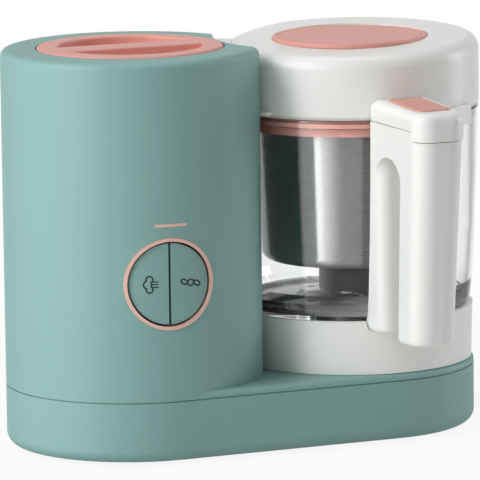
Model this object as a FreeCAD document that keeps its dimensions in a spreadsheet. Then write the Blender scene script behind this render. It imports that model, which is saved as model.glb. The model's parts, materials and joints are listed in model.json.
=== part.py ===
import FreeCAD, Part
import os
import re
import Sketcher
from math import acos, asin, atan2, cos, pi, radians, sin

# A counter-top baby food maker: a tower with a water tank and heater, a deck with a belt drive,
# and a glass jar with a blade, a steaming basket and a lid. Heights are read from the pan's underside.

V = FreeCAD.Vector
doc = FreeCAD.newDocument("baby_food_maker")
sizes = doc.addObject("Spreadsheet::Sheet", "sizes")

SIZES = [
    ("tower_radius", 83.0, "outside radius of the tower"),
    ("tower_rise", 5.3, "height of the tower above the lid's edge"),
    ("tower_round", 5.0, "rounding of the tower's top edge"),
    ("rim_wall", 2.6, "wall between the cap's well and the tower's hollow"),
    ("deck_margin", 1.4, "edge of the deck left free round the jar foot"),
    ("deck_rise", 4.3, "height of the deck above the seam"),
    ("deck_plate", 2.8, "thickness of the deck"),
    ("deck_round", 3.0, "rounding of the deck's edge"),
    ("deck_inset", 0.4, "step of the deck's outline inside the tower's"),
    ("seam_height", 39.3, "height of the seam between housing and pan"),
    ("seam_gap", 0.7, "height of the shadow gap at the seam"),
    ("seam_lip", 1.2, "depth of the shadow gap at the seam"),
    ("housing_wall", 3.0, "wall of housing and pan"),
    ("scoop_gap", 5.4, "distance between the lid and the tower's hollow"),
    ("scoop_round", 1.8, "rounding of the hollow's upright edges"),
    ("pan_floor", 3.0, "thickness of the pan's floor"),
    ("pan_round", 8.0, "rounding of the pan's lower edge"),
    ("foot_height", 2.0, "height of a rubber foot below the pan"),
    ("foot_radius", 9.0, "radius of a rubber foot"),
    ("post_radius", 5.5, "radius of a screw post"),
    ("post_gap", 1.0, "gap between a screw post and the wall"),
    ("deck_post_in", 21.0, "inset of the deck's screw posts"),
    ("screw_radius", 2.0, "radius of a pan screw"),
    ("screw_head", 3.8, "radius of a pan screw's head"),
    ("head_depth", 7.0, "depth at which a screw's head is sunk"),
    ("boss_height", 18.0, "height of a screw boss in the tower"),
    ("gland_height", 20.0, "height of the cord's exit"),
    ("gland_radius", 7.5, "radius of the grommet in the pan's wall"),
    ("gland_bore", 3.6, "radius of the grommet's bore"),
    ("gland_proud", 2.4, "thickness of the grommet's flange outside the wall"),
    ("cap_radius", 59.8, "radius of the tank cap"),
    ("cap_gap", 0.8, "gap round the tank cap"),
    ("cap_proud", 1.0, "height of the tank cap above the tower"),
    ("cap_depth", 12.4, "thickness of the tank cap"),
    ("cap_round", 2.0, "rounding of the tank cap's top edge"),
    ("grip_radius", 46.0, "outer radius of the cap's finger recesses"),
    ("grip_bar", 21.0, "width of the bar between the finger recesses"),
    ("grip_depth", 8.0, "depth of the finger recesses"),
    ("grip_round", 1.2, "rounding of the bar's upper edges"),
    ("well_depth", 17.2, "depth of the cap's well"),
    ("well_plate", 3.0, "thickness of the well's floor"),
    ("well_wall", 2.0, "wall of the cap's well"),
    ("neck_radius", 40.0, "radius of the tank's mouth"),
    ("neck_wall", 3.0, "wall of the tank's neck"),
    ("neck_rise", 2.0, "height of the neck above the well's floor"),
    ("tank_gap", 4.2, "gap between tank and tower wall"),
    ("tank_wall", 2.0, "wall of the water tank"),
    ("tank_depth", 50.5, "depth of the water tank"),
    ("seal_height", 1.5, "thickness of a flat seal"),
    ("plug_depth", 11.0, "depth of the stopper in the neck"),
    ("plug_gap", 0.5, "gap round the stopper in the neck"),
    ("plug_flange", 49.0, "radius of the stopper's flange"),
    ("flange_plate", 2.2, "thickness of the stopper's flange"),
    ("pivot_radius", 8.0, "radius of the stopper's post in the cap"),
    ("pivot_height", 6.0, "height of the stopper's post"),
    ("run_gap", 0.05, "gap between a shaft and its bush"),
    ("part_gap", 0.3, "gap between pieces that move on each other"),
    ("heater_in", 3.0, "inset of the heater plate under the tank"),
    ("heater_plate_height", 6.0, "thickness of the heater plate"),
    ("element_radius", 38.0, "middle radius of the heating element"),
    ("element_width", 8.0, "width of the heating element"),
    ("port_drop", 0.9, "distance of the steam nozzle below the well"),
    ("port_radius", 5.0, "outside radius of the steam nozzle"),
    ("port_wall", 1.5, "wall of the steam nozzle"),
    ("panel_turn", 4.5, "angle of the control panel towards the tower's side"),
    ("panel_height", 114.4, "height of the control panel's middle"),
    ("ring_radius", 29.3, "outside radius of the button ring"),
    ("ring_width", 2.2, "width of the button ring"),
    ("ring_proud", 0.7, "height of the ring above the tower"),
    ("ring_depth", 13.0, "depth of the button ring's back in the tower"),
    ("button_gap", 1.3, "gap round a button"),
    ("button_split", 1.5, "gap between the two buttons"),
    ("button_sunk", 1.2, "depth of the buttons below the tower's face"),
    ("button_depth", 9.0, "depth of a button's back in the tower"),
    ("stem_radius", 3.0, "radius of a button's stem"),
    ("stem_out", 12.0, "distance of a stem from the panel's middle"),
    ("button_travel", 1.2, "travel of a button"),
    ("frame_plate", 3.0, "thickness of the panel frame"),
    ("board_depth", 33.0, "depth of the control board's back in the tower"),
    ("board_plate", 1.6, "thickness of the control board"),
    ("switch_height", 5.0, "height of a tact switch"),
    ("accent_rise", 37.3, "height of the accent bar above the panel's middle"),
    ("accent_length", 14.5, "angle the accent bar covers"),
    ("accent_width", 1.8, "height of the accent bar's face"),
    ("accent_depth", 0.8, "depth of the accent bar in the wall"),
    ("accent_proud", 0.3, "height of the accent bar above the wall"),
    ("motor_radius", 36.0, "outside radius of the motor"),
    ("motor_base", 56.0, "height of the motor's underside"),
    ("bell_height", 10.0, "height of the motor's end pieces"),
    ("stack_height", 44.0, "height of the stator's stack"),
    ("stator_bore", 18.6, "radius of the stator's bore"),
    ("air_gap", 0.6, "gap between armature and stator"),
    ("shaft_radius", 4.0, "radius of the motor and drive shafts"),
    ("bracket_margin", 3.5, "edge of the motor bracket past its posts"),
    ("bracket_plate", 3.0, "thickness of the motor bracket"),
    ("bracket_ring", 47.0, "radius on which the bracket's posts stand"),
    ("fan_radius", 28.0, "radius of the motor's fan"),
    ("belt_height", 14.0, "height of the belt's lower edge"),
    ("belt_width", 8.0, "width of the belt"),
    ("belt_plate", 2.0, "thickness of the belt"),
    ("small_pulley", 10.0, "radius of the motor pulley"),
    ("large_pulley", 28.0, "radius of the drive pulley"),
    ("pulley_flange", 2.5, "height of a pulley's flanges"),
    ("bush_radius", 8.0, "outside radius of a drive bush"),
    ("dog_across", 20.0, "width of the drive dog across its flats"),
    ("dog_height", 13.4, "height of the drive dog above the deck"),
    ("dog_gap", 0.5, "gap round the drive dog in its socket"),
    ("jar_radius", 83.0, "radius of the glass at its rim"),
    ("glass_height", 130.1, "height of the glass above the jar foot"),
    ("glass_floor", 7.5, "thickness of the glass floor"),
    ("socket_depth", 4.5, "depth of the glass in the jar foot"),
    ("jar_wall", 3.4, "wall of the glass at its rim"),
    ("jar_hole", 24.0, "radius of the hole in the glass floor"),
    ("socket_gap", 0.3, "gap round the glass in the jar foot"),
    ("ledge_depth", 5.6, "depth of the ledge the basket's ring hangs on"),
    ("ledge_width", 2.0, "width of that ledge"),
    ("foot_rise", 34.9, "height of the jar foot's upper edge above the deck"),
    ("foot_top_in", 4.5, "inset of the jar foot at its upper edge"),
    ("foot_base_in", 5.4, "inset of the jar foot at the deck"),
    ("foot_wall", 3.2, "wall of the jar foot"),
    ("shelf_plate", 3.0, "thickness of the shelf under the glass"),
    ("hole_gap", 0.4, "gap round the blade bearing in the glass"),
    ("skirt_radius", 30.0, "radius of the blade bearing's skirt"),
    ("gasket_height", 0.8, "thickness of the blade gasket"),
    ("hub_radius", 21.5, "radius of the blade hub"),
    ("hub_gap", 5.0, "gap between blade hub and basket"),
    ("wing_rise", 5.7, "height of the wings at the hub above the glass floor"),
    ("wing_plate", 1.4, "thickness of the blade wings"),
    ("wing_drop", 3.2, "step of the wings down to the floor"),
    ("wing_in", 18.0, "inset of the wing tips from the glass"),
    ("spin_radius", 5.0, "radius of the blade's shaft"),
    ("hub_height", 22.5, "height of the blade hub above the glass floor"),
    ("basket_in", 21.0, "inset of the basket at its top"),
    ("basket_taper", 3.5, "taper of the basket"),
    ("basket_sheet", 0.8, "thickness of the basket's steel"),
    ("basket_round", 6.0, "rounding of the basket's lower edge"),
    ("drain_radius", 2.4, "radius of a drain hole"),
    ("ring_height", 11.2, "height of the basket ring"),
    ("ring_in", 8.0, "inset of the basket ring's skirt"),
    ("lid_over", 0.4, "overhang of the lid past the glass rim"),
    ("lid_seal_height", 1.7, "thickness of the lid seal"),
    ("lid_height", 38.8, "height of the lid at its edge"),
    ("lid_rise", 1.8, "rise of the lid's top to the cap"),
    ("lid_wall", 3.2, "wall of the lid"),
    ("lid_round", 8.0, "rounding of the lid's top edge"),
    ("lid_slant", 7.0, "rise of the lid's top across its width"),
    ("slant_turn", 49.5, "direction in which the lid's top rises"),
    ("lid_middle", 3.1, "height of the lid's top in the middle above its shoulder"),
    ("ramp_start", 12.0, "distance of the ramp's upper edge from the lid's axis"),
    ("ramp_fall", 7.2, "fall of the ramp towards the tower"),
    ("cap_line", 46.5, "radius of the line round the lid cap's top"),
    ("line_depth", 0.5, "depth and half width of the line on the lid cap"),
    ("lid_hole", 34.0, "radius of the hole under the lid cap"),
    ("neck_front", 9.0, "angle the lid's neck covers before the steam way"),
    ("neck_back", 30.0, "angle the lid's neck covers behind the steam way"),
    ("neck_round", 2.0, "rounding of the neck's upper edge"),
    ("neck_floor", 3.6, "wall of the lid's neck under the steam way"),
    ("neck_step", 1.0, "height of the neck's top above the lid's front edge"),
    ("neck_gap", 0.6, "gap between the neck and the tower"),
    ("tab_turn", 60.0, "angle the lid's tab covers"),
    ("lug_turn", 14.0, "angle the lid's side lug covers"),
    ("lug_from", 27.0, "angle from the handle to the side lug"),
    ("lug_drop", 10.1, "drop of the side lug below the lid's edge"),
    ("lid_cap_radius", 50.2, "radius of the lid cap"),
    ("lid_cap_height", 3.2, "height of the lid cap above its seat"),
    ("cap_sink", 0.8, "depth of the lid cap's seat"),
    ("grip_thick", 30.5, "depth of the grip at its top"),
    ("grip_lean", 12.0, "lean of the grip's outer face towards the jar at its end"),
    ("gap_lean", 8.0, "lean of the grip's inner face towards the jar at its end"),
    ("grip_taper", 1.5, "narrowing of the grip's half width at its end"),
    ("grip_end", 3.8, "rounding of the grip's lower end"),
    ("column_round", 9.0, "rounding of the column's outer edges"),
    ("column_end", 4.0, "rounding of the column's lower end"),
    ("arch_round", 13.0, "rounding of the finger gap's top"),
    ("gap_edge", 4.0, "rounding of the grip's inner edges"),
    ("boss_wall", 1.2, "how much wider a screw boss is than its post"),
    ("boss_cap", 2.0, "thickness of a screw boss above its hole"),
    ("bush_wall", 3.0, "wall round a bush"),
    ("bush_boss", 9.0, "height of the bush's boss under the deck"),
    ("head_height", 2.4, "height of a screw's head"),
    ("screw_overlap", 0.5, "how far a screw's shank runs into its head"),
    ("gland_flange", 2.0, "width of the grommet's flanges"),
    ("gland_inner", 2.6, "thickness of the grommet's inner flange"),
    ("gland_slack", 0.8, "room between the grommet's inner flange and the wall"),
    ("tank_corner", 5.0, "rounding inside the tank's floor"),
    ("duct_drop", 8.0, "height of the steam way in the tank below the nozzle"),
    ("tail_out", 6.0, "distance of the heater's terminals from its middle"),
    ("tail_radius", 2.2, "radius of a heater terminal"),
    ("tail_length", 12.0, "length of a heater terminal"),
    ("element_round", 2.0, "rounding of the heater element"),
    ("stat_height", 8.0, "height of the thermostat"),
    ("stat_case", 5.0, "height of the thermostat's case"),
    ("stat_radius", 11.0, "radius of the thermostat's case"),
    ("stat_neck", 6.0, "radius of the thermostat's neck"),
    ("plug_wall", 2.4, "wall of the stopper's plug"),
    ("pivot_room", 0.5, "room above the stopper's pivot"),
    ("leg_across", 20.0, "distance of the panel frame's legs from its middle"),
    ("leg_along", 15.0, "height of the panel frame's legs from its middle"),
    ("leg_radius", 3.0, "radius of a leg of the panel frame"),
    ("board_half", 27.0, "half width of the control board"),
    ("board_reach", 30.0, "half height of the control board"),
    ("switch_half", 3.2, "half width of a switch"),
    ("switch_key", 1.8, "radius of a switch's key"),
    ("fan_hub", 8.0, "radius of the fan's hub"),
    ("rib_half", 1.2, "half thickness of a rib under the jar"),
    ("rib_height", 9.0, "height of a rib under the jar"),
    ("nut_height", 5.0, "height of the blade's nut"),
    ("nut_wall", 9.0, "wall of the blade's nut"),
    ("flute_radius", 3.0, "radius of a flute on the nut"),
    ("lip_round", 1.2, "rounding of the jar's lip"),
    ("hub_round", 5.0, "rounding of the blade hub's top"),
    ("crown_round", 6.0, "rounding of the handle cap's top"),
    ("pad_round", 0.8, "rounding of the latch pad's top"),
    ("shaft_stop", 4.0, "depth of a blind bore above its shaft's end"),
    ("dog_lift", 1.2, "height of the drive dog above the deck"),
    ("socket_lift", 3.0, "height of the blade's coupling above the deck"),
    ("cap_core", 12.0, "half width of the hollows in the handle's top"),
    ("grip_core", 9.0, "half width of the hollow in the grip"),
    ("pad_play", 0.5, "gap round the latch pad"),
    ("deck_post_past", 20.0, "distance of the deck's bosses past the jar's axis"),
    ("foot_left", 52.0, "distance of the left foot from the tower's axis"),
    ("foot_right", 8.0, "distance of the two tower feet right of its axis"),
    ("foot_apart", 58.0, "distance of the tower feet from the middle line"),
    ("deck_foot_past", 22.0, "distance of the deck's feet past the jar's axis"),
    ("deck_foot_apart", 44.0, "distance of the deck's feet from the middle line"),
    ("cut_over", 1.0, "how far a cut runs past the face it opens"),
    ("slip", 0.1, "gap of a slip fit"),
    ("past_face", 6.0, "how far a panel piece is drawn past the tower's face"),
    ("vent_pitch", 8.0, "distance between two vents"),
    ("vent_half", 1.5, "half width of a vent"),
    ("vent_reach", 18.0, "half length of a vent"),
    ("vent_corner", 1.4, "rounding of a vent's ends"),
    ("screw_short", 3.0, "how far a screw ends below the top of its boss"),
    ("duct_corner", 4.0, "corner of the steam duct"),
    ("duct_set", 0.6, "gap between the duct and the housing"),
    ("trim_far", 30.0, "how far a trimming cut reaches"),
    ("panel_span", 40.0, "half height of the panel's round face"),
    ("board_corner", 2.0, "corner of the control board"),
    ("chip_height", 7.0, "height of the parts on the board"),
    ("chip_sink", 0.4, "how far the parts run into the board"),
    ("chip_corner", 0.5, "corner of a part on the board"),
    ("chip_from", 20.0, "height of the parts from the panel's middle"),
    ("chip_deep", 8.0, "height of the large part on the board"),
    ("chip_near", 4.0, "distance of the parts from the middle line"),
    ("key_height", 2.0, "height of a switch's key"),
    ("key_rise", 1.4, "how much higher the key is than the switch's case"),
    ("stem_play", 0.3, "gap between a stem and its switch with the button pressed"),
    ("bell_wall", 3.0, "wall of the motor's bells"),
    ("collar_radius", 10.0, "radius of a bell's bearing collar"),
    ("collar_height", 8.0, "height of the lower bearing collar"),
    ("shaft_out", 14.0, "length of the shaft above the motor"),
    ("shaft_tip", 2.0, "length of a shaft below its pulley"),
    ("bracket_hole", 6.0, "gap round the shaft in the motor bracket"),
    ("vane_half", 1.0, "half thickness of a fan vane"),
    ("vane_height", 9.0, "height of a fan vane"),
    ("belt_play", 0.4, "gap beside the belt in a pulley's groove"),
    ("bush_flange", 2.0, "width of the deck bush's flange"),
    ("bush_lip", 0.8, "thickness of the deck bush's flange"),
    ("waist_in", 6.0, "how far the jar draws in at its waist"),
    ("waist_up", 5.0, "height of the jar's waist above its foot"),
    ("low_in", 4.8, "how far the jar is drawn in low down"),
    ("low_bore", 8.6, "how far the jar's bore is drawn in low down"),
    ("low_up", 16.0, "height of the low part of the jar's side"),
    ("side_in", 2.6, "how far the jar is drawn in at half height"),
    ("side_bore", 6.4, "how far the jar's bore is drawn in at half height"),
    ("side_up", 51.0, "height of the middle of the jar's side"),
    ("neck_in", 0.7, "how far the jar is drawn in under its rim"),
    ("neck_down", 34.0, "distance of that place from the rim"),
    ("sump_in", 10.5, "how far the bore is drawn in above the sump"),
    ("sump_up", 10.0, "height of the sump's top"),
    ("sump_bend", 13.0, "how far the bore is drawn in at the floor's bend"),
    ("bend_up", 2.8, "height of the floor's bend"),
    ("floor_in", 18.0, "how far the flat floor ends inside the jar's radius"),
    ("fit_gap", 0.4, "gap between two pieces that drop together"),
    ("notch_in", 9.0, "how far the notch in the foot reaches in"),
    ("notch_over", 12.0, "how far the notch's cut reaches above the foot"),
    ("rib_start", 12.0, "distance of a rib from the spindle"),
    ("rib_sink", 1.0, "how far a rib runs into the wall"),
    ("skirt_slack", 0.8, "gap between the bearing's skirt and the wings"),
    ("gasket_in", 0.6, "how far the gasket is set in from its two edges"),
    ("spin_start", 1.0, "height of the blade's shaft above the drive dog"),
    ("socket_top", 5.0, "height of the coupling above the drive dog"),
    ("wing_half", 8.0, "half width of a wing before its edges are ground"),
    ("wing_root", 3.0, "how far a wing runs into the hub"),
    ("bend_start", 11.0, "where a wing bends down"),
    ("bend_end", 16.0, "where a wing runs level again"),
    ("tip_over", 3.0, "how far the grinding cuts run past a wing's tip"),
    ("lead_root", 7.0, "distance of the leading edge from the middle at the root"),
    ("edge_start", 2.0, "where the ground edges start"),
    ("lead_middle", 5.5, "distance of the leading edge at its middle"),
    ("edge_middle", 20.0, "where the ground edges bend"),
    ("edge_out", 9.0, "how wide the grinding cuts are drawn"),
    ("lead_tip", 2.0, "how far the leading edge sweeps past the middle at the tip"),
    ("trail_root", 6.0, "distance of the trailing edge at the root"),
    ("trail_middle", 4.5, "distance of the trailing edge at its middle"),
    ("trail_tip", 5.0, "distance of the trailing edge at the tip"),
    ("rim_drop", 4.4, "height of the basket's rim in the ring"),
    ("rim_out", 8.0, "width of the basket's rim"),
    ("ring_thick", 2.4, "thickness of the basket ring's skirt"),
    ("lid_foot", 6.0, "how far the lid's edge reaches in over the jar"),
    ("lid_sole", 2.6, "thickness of the lid's edge"),
    ("liner_plate", 2.0, "thickness of the lid's liner"),
    ("liner_in", 4.0, "how far the liner's hole is wider than the lid's"),
    ("seal_edge", 0.6, "how far a seal is set in from an edge"),
    ("groove_in", 1.8, "depth of the seal's groove in the lid cap's plug"),
    ("lid_plug", 9.0, "depth of the lid cap's plug"),
    ("groove_low", 5.6, "depth of the groove's lower side"),
    ("groove_high", 3.8, "depth of the groove's upper side"),
    ("lug_thick", 3.0, "thickness of the lid's lug"),
    ("slope_from", 40.0, "where the handle cap's slope is drawn from"),
    ("reach_over", 10.0, "how far a cut is drawn past the handle"),
    ("hollow_corner", 4.0, "corner of the hollows in the handle"),
    ("hollow_floor", 6.0, "thickness left under a hollow in the handle"),
    ("lid_play", 0.8, "gap between the lid and the handle cap"),
    ("spring_play", 1.4, "gap between the latch's stem and its spring"),
    ("accent_trim", 0.6, "turn by which the bar's slot is shorter at its start"),
    ("weld_sink", 0.5, "how far one feature runs into the next"),
    ("seat_slack", 2.5, "gap between the lower bush's seat and the pulley"),
    ("socket_lip", 0.3, "gap between the jar and its foot's rim"),
    ("neck_root", 2.0, "how far the neck's lower part runs into the lid"),
    ("neck_grip", 6.0, "how far the neck's top runs into the lid"),
    ("tab_height", 2.0, "thickness of the tab below the neck"),
    ("lug_height", 2.4, "height of the lug's root"),
    ("lug_skim", 0.01, "how far the lug's root clears the lid's edge"),
    ("duct_in", 8.0, "how far the steam duct is drawn inside the lid's edge"),
    ("liner_vent", 3.0, "radius of a vent in the liner"),
    ("rebate_over", 8.0, "how far the rebate's cut is drawn past the handle"),
    ("hollow_wall", 3.0, "wall between the handle's hollow and its skirt"),
    ("core_wall", 5.0, "wall of the grip"),
    ("stem_below", 3.0, "how far the latch's stem ends below the seam"),
    ("ramp_lift", 0.02667, "how far the ramp's top clears the slanted face at the rim"),
    ("arch_share", 0.998, "largest share of the finger gap's width that its arch takes"),
    ("cap_lip", 0.6, "overhang of the handle cap past the grip"),
    ("cap_reveal", 0.6, "gap that shows as the seam under the handle cap"),
    ("seam_seat", 3.0, "distance of the handle cap's seat from its flanks"),
    ("notch_gap", 0.9, "gap between the handle's column and the jar's foot"),
    ("root_in", 13.0, "depth to which the handle's outline runs inside the glass radius"),
    ("finger_space", 27.0, "width of the finger gap"),
    ("column_depth", 9.0, "depth of the handle's column"),
    ("column_half", 21.0, "half width of the handle at the glass"),
    ("grip_half", 18.0, "half width of the handle at the grip's outer face"),
    ("grip_corner", 13.0, "rounding of the grip's outer corners"),
    ("grip_clear", 26.6, "height of the grip's end above the deck"),
    ("notch_depth", 6.5, "depth of the notch for the handle in the jar foot"),
    ("bridge_height", 20.6, "height of the bridge over the finger gap"),
    ("handle_step", 0.1, "step of the handle's seam below the glass rim"),
    ("skirt_drop", 6.4, "drop of the handle cap's front skirt"),
    ("skirt_thick", 11.0, "depth of the handle cap's front skirt"),
    ("handle_rise", 11.4, "height of the handle cap above the lid's edge"),
    ("handle_fall", 1.4, "fall of the handle cap's top"),
    ("glue_gap", 0.2, "gap between handle and glass"),
    ("pad_half", 11.6, "half width of the latch pad"),
    ("pad_gap", 4.1, "distance of the latch pad from the lid"),
    ("pad_margin", 13.5, "distance of the latch pad from the grip's outer face"),
    ("pad_corner", 4.0, "rounding of the latch pad's corners"),
    ("pad_proud", 0.8, "height of the latch pad above the handle cap"),
    ("pad_thick", 4.8, "thickness of the latch pad at its near end"),
    ("pad_room", 3.6, "room for the latch pad's travel"),
    ("pad_plate", 2.2, "thickness of the floor under the latch pad"),
    ("latch_in", 24.5, "distance of the latch stem from the pad's near end"),
    ("latch_stem", 4.0, "radius of the latch stem"),
    ("spring_wire", 0.4, "radius of the latch spring's wire"),
    ("spring_turns", 2.5, "turns of the latch spring"),
]
# Sizes that follow from others, so that what fits together stays together
DERIVED = {
    "axis_pitch": "cap_radius + cap_gap + rim_wall + scoop_radius",
    "scoop_radius": "lid_radius + scoop_gap",
    "lid_radius": "jar_radius + lid_over",
    "deck_radius": "foot_base_radius + deck_margin",
    "foot_base_radius": "jar_radius - foot_base_in",
    "foot_top_radius": "jar_radius - foot_top_in",
    "jar_base_radius": "foot_top_radius - foot_wall - socket_gap",
    "basket_top_radius": "jar_radius - basket_in",
    "basket_low_radius": "basket_top_radius - basket_taper",
    "ring_skirt": "jar_radius - ring_in",
    "wing_reach": "jar_radius - wing_in",
    "column_far": "jar_radius + column_depth",
    "grip_near": "column_far + finger_space",
    "handle_reach": "grip_near + grip_thick",
    "handle_root": "jar_radius - root_in",
    "skirt_from": "handle_reach - skirt_thick",
    "pad_near": "lid_radius + pad_gap",
    "pad_far": "handle_reach - pad_margin",
    "latch_out": "pad_near + latch_in",
    "tank_radius": "cap_radius + cap_gap + rim_wall - housing_wall - tank_gap",
    "heater_plate_radius": "tank_radius - heater_in",
    "post_ring": "tower_radius - housing_wall - post_radius - post_gap",
    "deck_post_out": "deck_radius - deck_post_in",
    "ring_back": "tower_radius - ring_depth",
    "button_back": "tower_radius - button_depth",
    "board_back": "tower_radius - board_depth",
    "bracket_radius": "bracket_ring + post_radius + bracket_margin",
    "spindle_radius": "jar_hole - hole_gap",
    "deck_height": "seam_height + deck_rise",
    "foot_top": "deck_height + foot_rise",
    "jar_bottom": "foot_top - socket_depth",
    "jar_floor": "jar_bottom + glass_floor",
    "jar_top": "foot_top + glass_height",
    "ring_low": "jar_top - ring_height",
    "hub_top": "jar_floor + hub_height",
    "basket_bottom": "hub_top + hub_gap",
    "wing_height": "jar_floor + wing_rise",
    "dog_top": "deck_height + dog_height",
    "lid_edge": "jar_top + part_gap + lid_seal_height",
    "lid_shoulder": "lid_edge + lid_height",
    "lid_crown": "lid_shoulder + lid_rise",
    "lid_cap_seat": "lid_crown - cap_sink",
    "lid_cap_top": "lid_cap_seat + lid_cap_height",
    "tower_top": "lid_shoulder + tower_rise",
    "well_floor": "tower_top - well_depth",
    "port_height": "well_floor - well_plate - port_radius - port_drop",
    "neck_low": "port_height - port_radius - neck_floor",
    "neck_high": "lid_shoulder + neck_step",
    "lug_low": "lid_edge - lug_drop",
    "tank_floor": "well_floor - well_plate - tank_depth",
    "handle_seam": "jar_top - handle_step",
    "skirt_low": "handle_seam - skirt_drop",
    "handle_near_top": "lid_edge + handle_rise",
    "handle_far_top": "handle_near_top - handle_fall",
    "pad_base": "handle_near_top - pad_thick",
    "pad_floor": "pad_base - pad_room",
    "pad_roof": "pad_floor - pad_plate",
    "arch_top": "handle_seam - bridge_height",
    "column_low": "foot_top - notch_depth",
    "grip_low": "deck_height + grip_clear",
    "accent_height": "panel_height + accent_rise",
}
NAMES = set()
for row, (alias, number, meaning) in enumerate(SIZES, 1):
    sizes.set(f"A{row}", meaning)
    sizes.set(f"B{row}", str(number))
    sizes.setAlias(f"B{row}", alias)
    NAMES.add(alias)
doc.recompute()

TOWER_X = "-(axis_pitch + lid_radius - tower_radius) / 2"
BOWL_X = "(axis_pitch - lid_radius + tower_radius) / 2"
AXIS_Y = "(handle_reach - tower_radius - gland_proud) / 2"
TOWER = (TOWER_X, AXIS_Y, "foot_height")
BOWL = (BOWL_X, AXIS_Y, "foot_height")
DECK_UNDER = "deck_height - deck_plate"
WELL_UNDER = "well_floor - well_plate"
NECK_TOP = "well_floor + neck_rise"
CAP_TOP = "tower_top + cap_proud"
FLANGE_LOW = "well_floor + neck_rise + seal_height"
FLANGE_TOP = "well_floor + neck_rise + seal_height + flange_plate"
TANK_UNDER = "tank_floor - tank_wall"
HEATER_UNDER = "tank_floor - tank_wall - heater_plate_height"
WING_TOP = "wing_height + wing_plate"
SKIRT_LOW = "jar_floor + gasket_height"
BELT_TOP = "belt_height + belt_width"
STACK_LOW = "motor_base + bell_height"
STACK_TOP = "motor_base + bell_height + stack_height"
MOTOR_TOP = "motor_base + 2 * bell_height + stack_height"
SHELF_UNDER = "jar_bottom - shelf_plate"
LEDGE = "jar_top - ledge_depth"
# Where the deck is wider than the tower, the pan's back wall slants and the grommet turns with it
GLAND_TURN = "min(0 ; asin((tower_radius - deck_radius) / axis_pitch) / 1 deg)"
PIECES = []


def bound(text):
    """The expression with each size read from the sheet."""
    def read(found):
        word = found.group()
        if word in DERIVED:
            return "(" + bound(DERIVED[word]) + ")"
        return "sizes." + word if word in NAMES else word
    return re.sub(r"[a-z][a-z_]*", read, text)


def worth(text):
    """The number an expression stands for."""
    return float(sizes.evalExpression(bound(text)))


def less(text, amount):
    return f"({text}) - ({amount})"


def more(text, amount):
    return f"({text}) + ({amount})"


def tie(item, field, text):
    item.setExpression(field, bound(text))


def piece(label, site, axis=None, angle="0"):
    """An empty sub-part on its own axis."""
    body = doc.addObject("PartDesign::Body", label)
    body.Label = label
    if axis is not None:
        body.Placement = FreeCAD.Placement(V(0, 0, 0), FreeCAD.Rotation(axis, worth(angle)))
        tie(body, "Placement.Rotation.Angle", angle)
    for letter, text in zip("xyz", site):
        tie(body, f"Placement.Base.{letter}", text)
    PIECES.append(body)
    return body


def drawing(body, name, plane="XY", height="0", turn="0"):
    """A sketch on one of the sub-part's planes, raised along its normal or turned about the upright."""
    sheet = body.newObject("Sketcher::SketchObject", f"{body.Label}_{name}")
    support = [item for item in body.Origin.OriginFeatures if item.Role == plane + "_Plane"][0]
    sheet.AttachmentSupport = (support, [""])
    sheet.MapMode = "FlatFace"
    if turn != "0":
        sheet.AttachmentOffset = FreeCAD.Placement(V(0, 0, 0), FreeCAD.Rotation(V(0, 1, 0), worth(turn)))
        tie(sheet, "AttachmentOffset.Rotation.Angle", turn)
    if height != "0":
        tie(sheet, "AttachmentOffset.Base.z", height)
    return sheet


def hold(sheet, kind, element, point, text):
    number = sheet.addConstraint(Sketcher.Constraint(kind, -1, 1, element, point, worth(text)))
    tie(sheet, f"Constraints[{number}]", text)


def pin(sheet, element, point, across, along):
    """Fixes a point of a sketch at two sizes from its origin."""
    if across == "0":
        sheet.addConstraint(Sketcher.Constraint("PointOnObject", element, point, -2))
    else:
        hold(sheet, "DistanceX", element, point, across)
    if along == "0":
        sheet.addConstraint(Sketcher.Constraint("PointOnObject", element, point, -1))
    else:
        hold(sheet, "DistanceY", element, point, along)


def size_arc(sheet, element, text):
    number = sheet.addConstraint(Sketcher.Constraint("Radius", element, worth(text)))
    tie(sheet, f"Constraints[{number}]", text)


def meet(sheet, one, end, other, start):
    sheet.addConstraint(Sketcher.Constraint("Coincident", one, end, other, start))


def polygon(sheet, corners):
    """A closed outline of straight edges."""
    spots = [V(worth(across), worth(along), 0) for across, along in corners]
    first = sheet.GeometryCount
    count = len(spots)
    for i in range(count):
        sheet.addGeometry(Part.LineSegment(spots[i], spots[(i + 1) % count]))
    for i in range(count):
        meet(sheet, first + i, 2, first + (i + 1) % count, 1)
    for i, (across, along) in enumerate(corners):
        pin(sheet, first + i, 1, across, along)
    return sheet


def circle(sheet, across, along, radius):
    ring = Part.Circle(V(worth(across), worth(along), 0), V(0, 0, 1), worth(radius))
    element = sheet.addGeometry(ring)
    pin(sheet, element, 3, across, along)
    size_arc(sheet, element, radius)
    return sheet


def arc(sheet, across, radius, start, end):
    """An arc about a point on the sketch's first axis, from one angle to another in radians."""
    curve = Part.Circle(V(worth(across), 0, 0), V(0, 0, 1), worth(radius))
    element = sheet.addGeometry(Part.ArcOfCircle(curve, start, end))
    pin(sheet, element, 3, across, "0")
    size_arc(sheet, element, radius)
    return element


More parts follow.
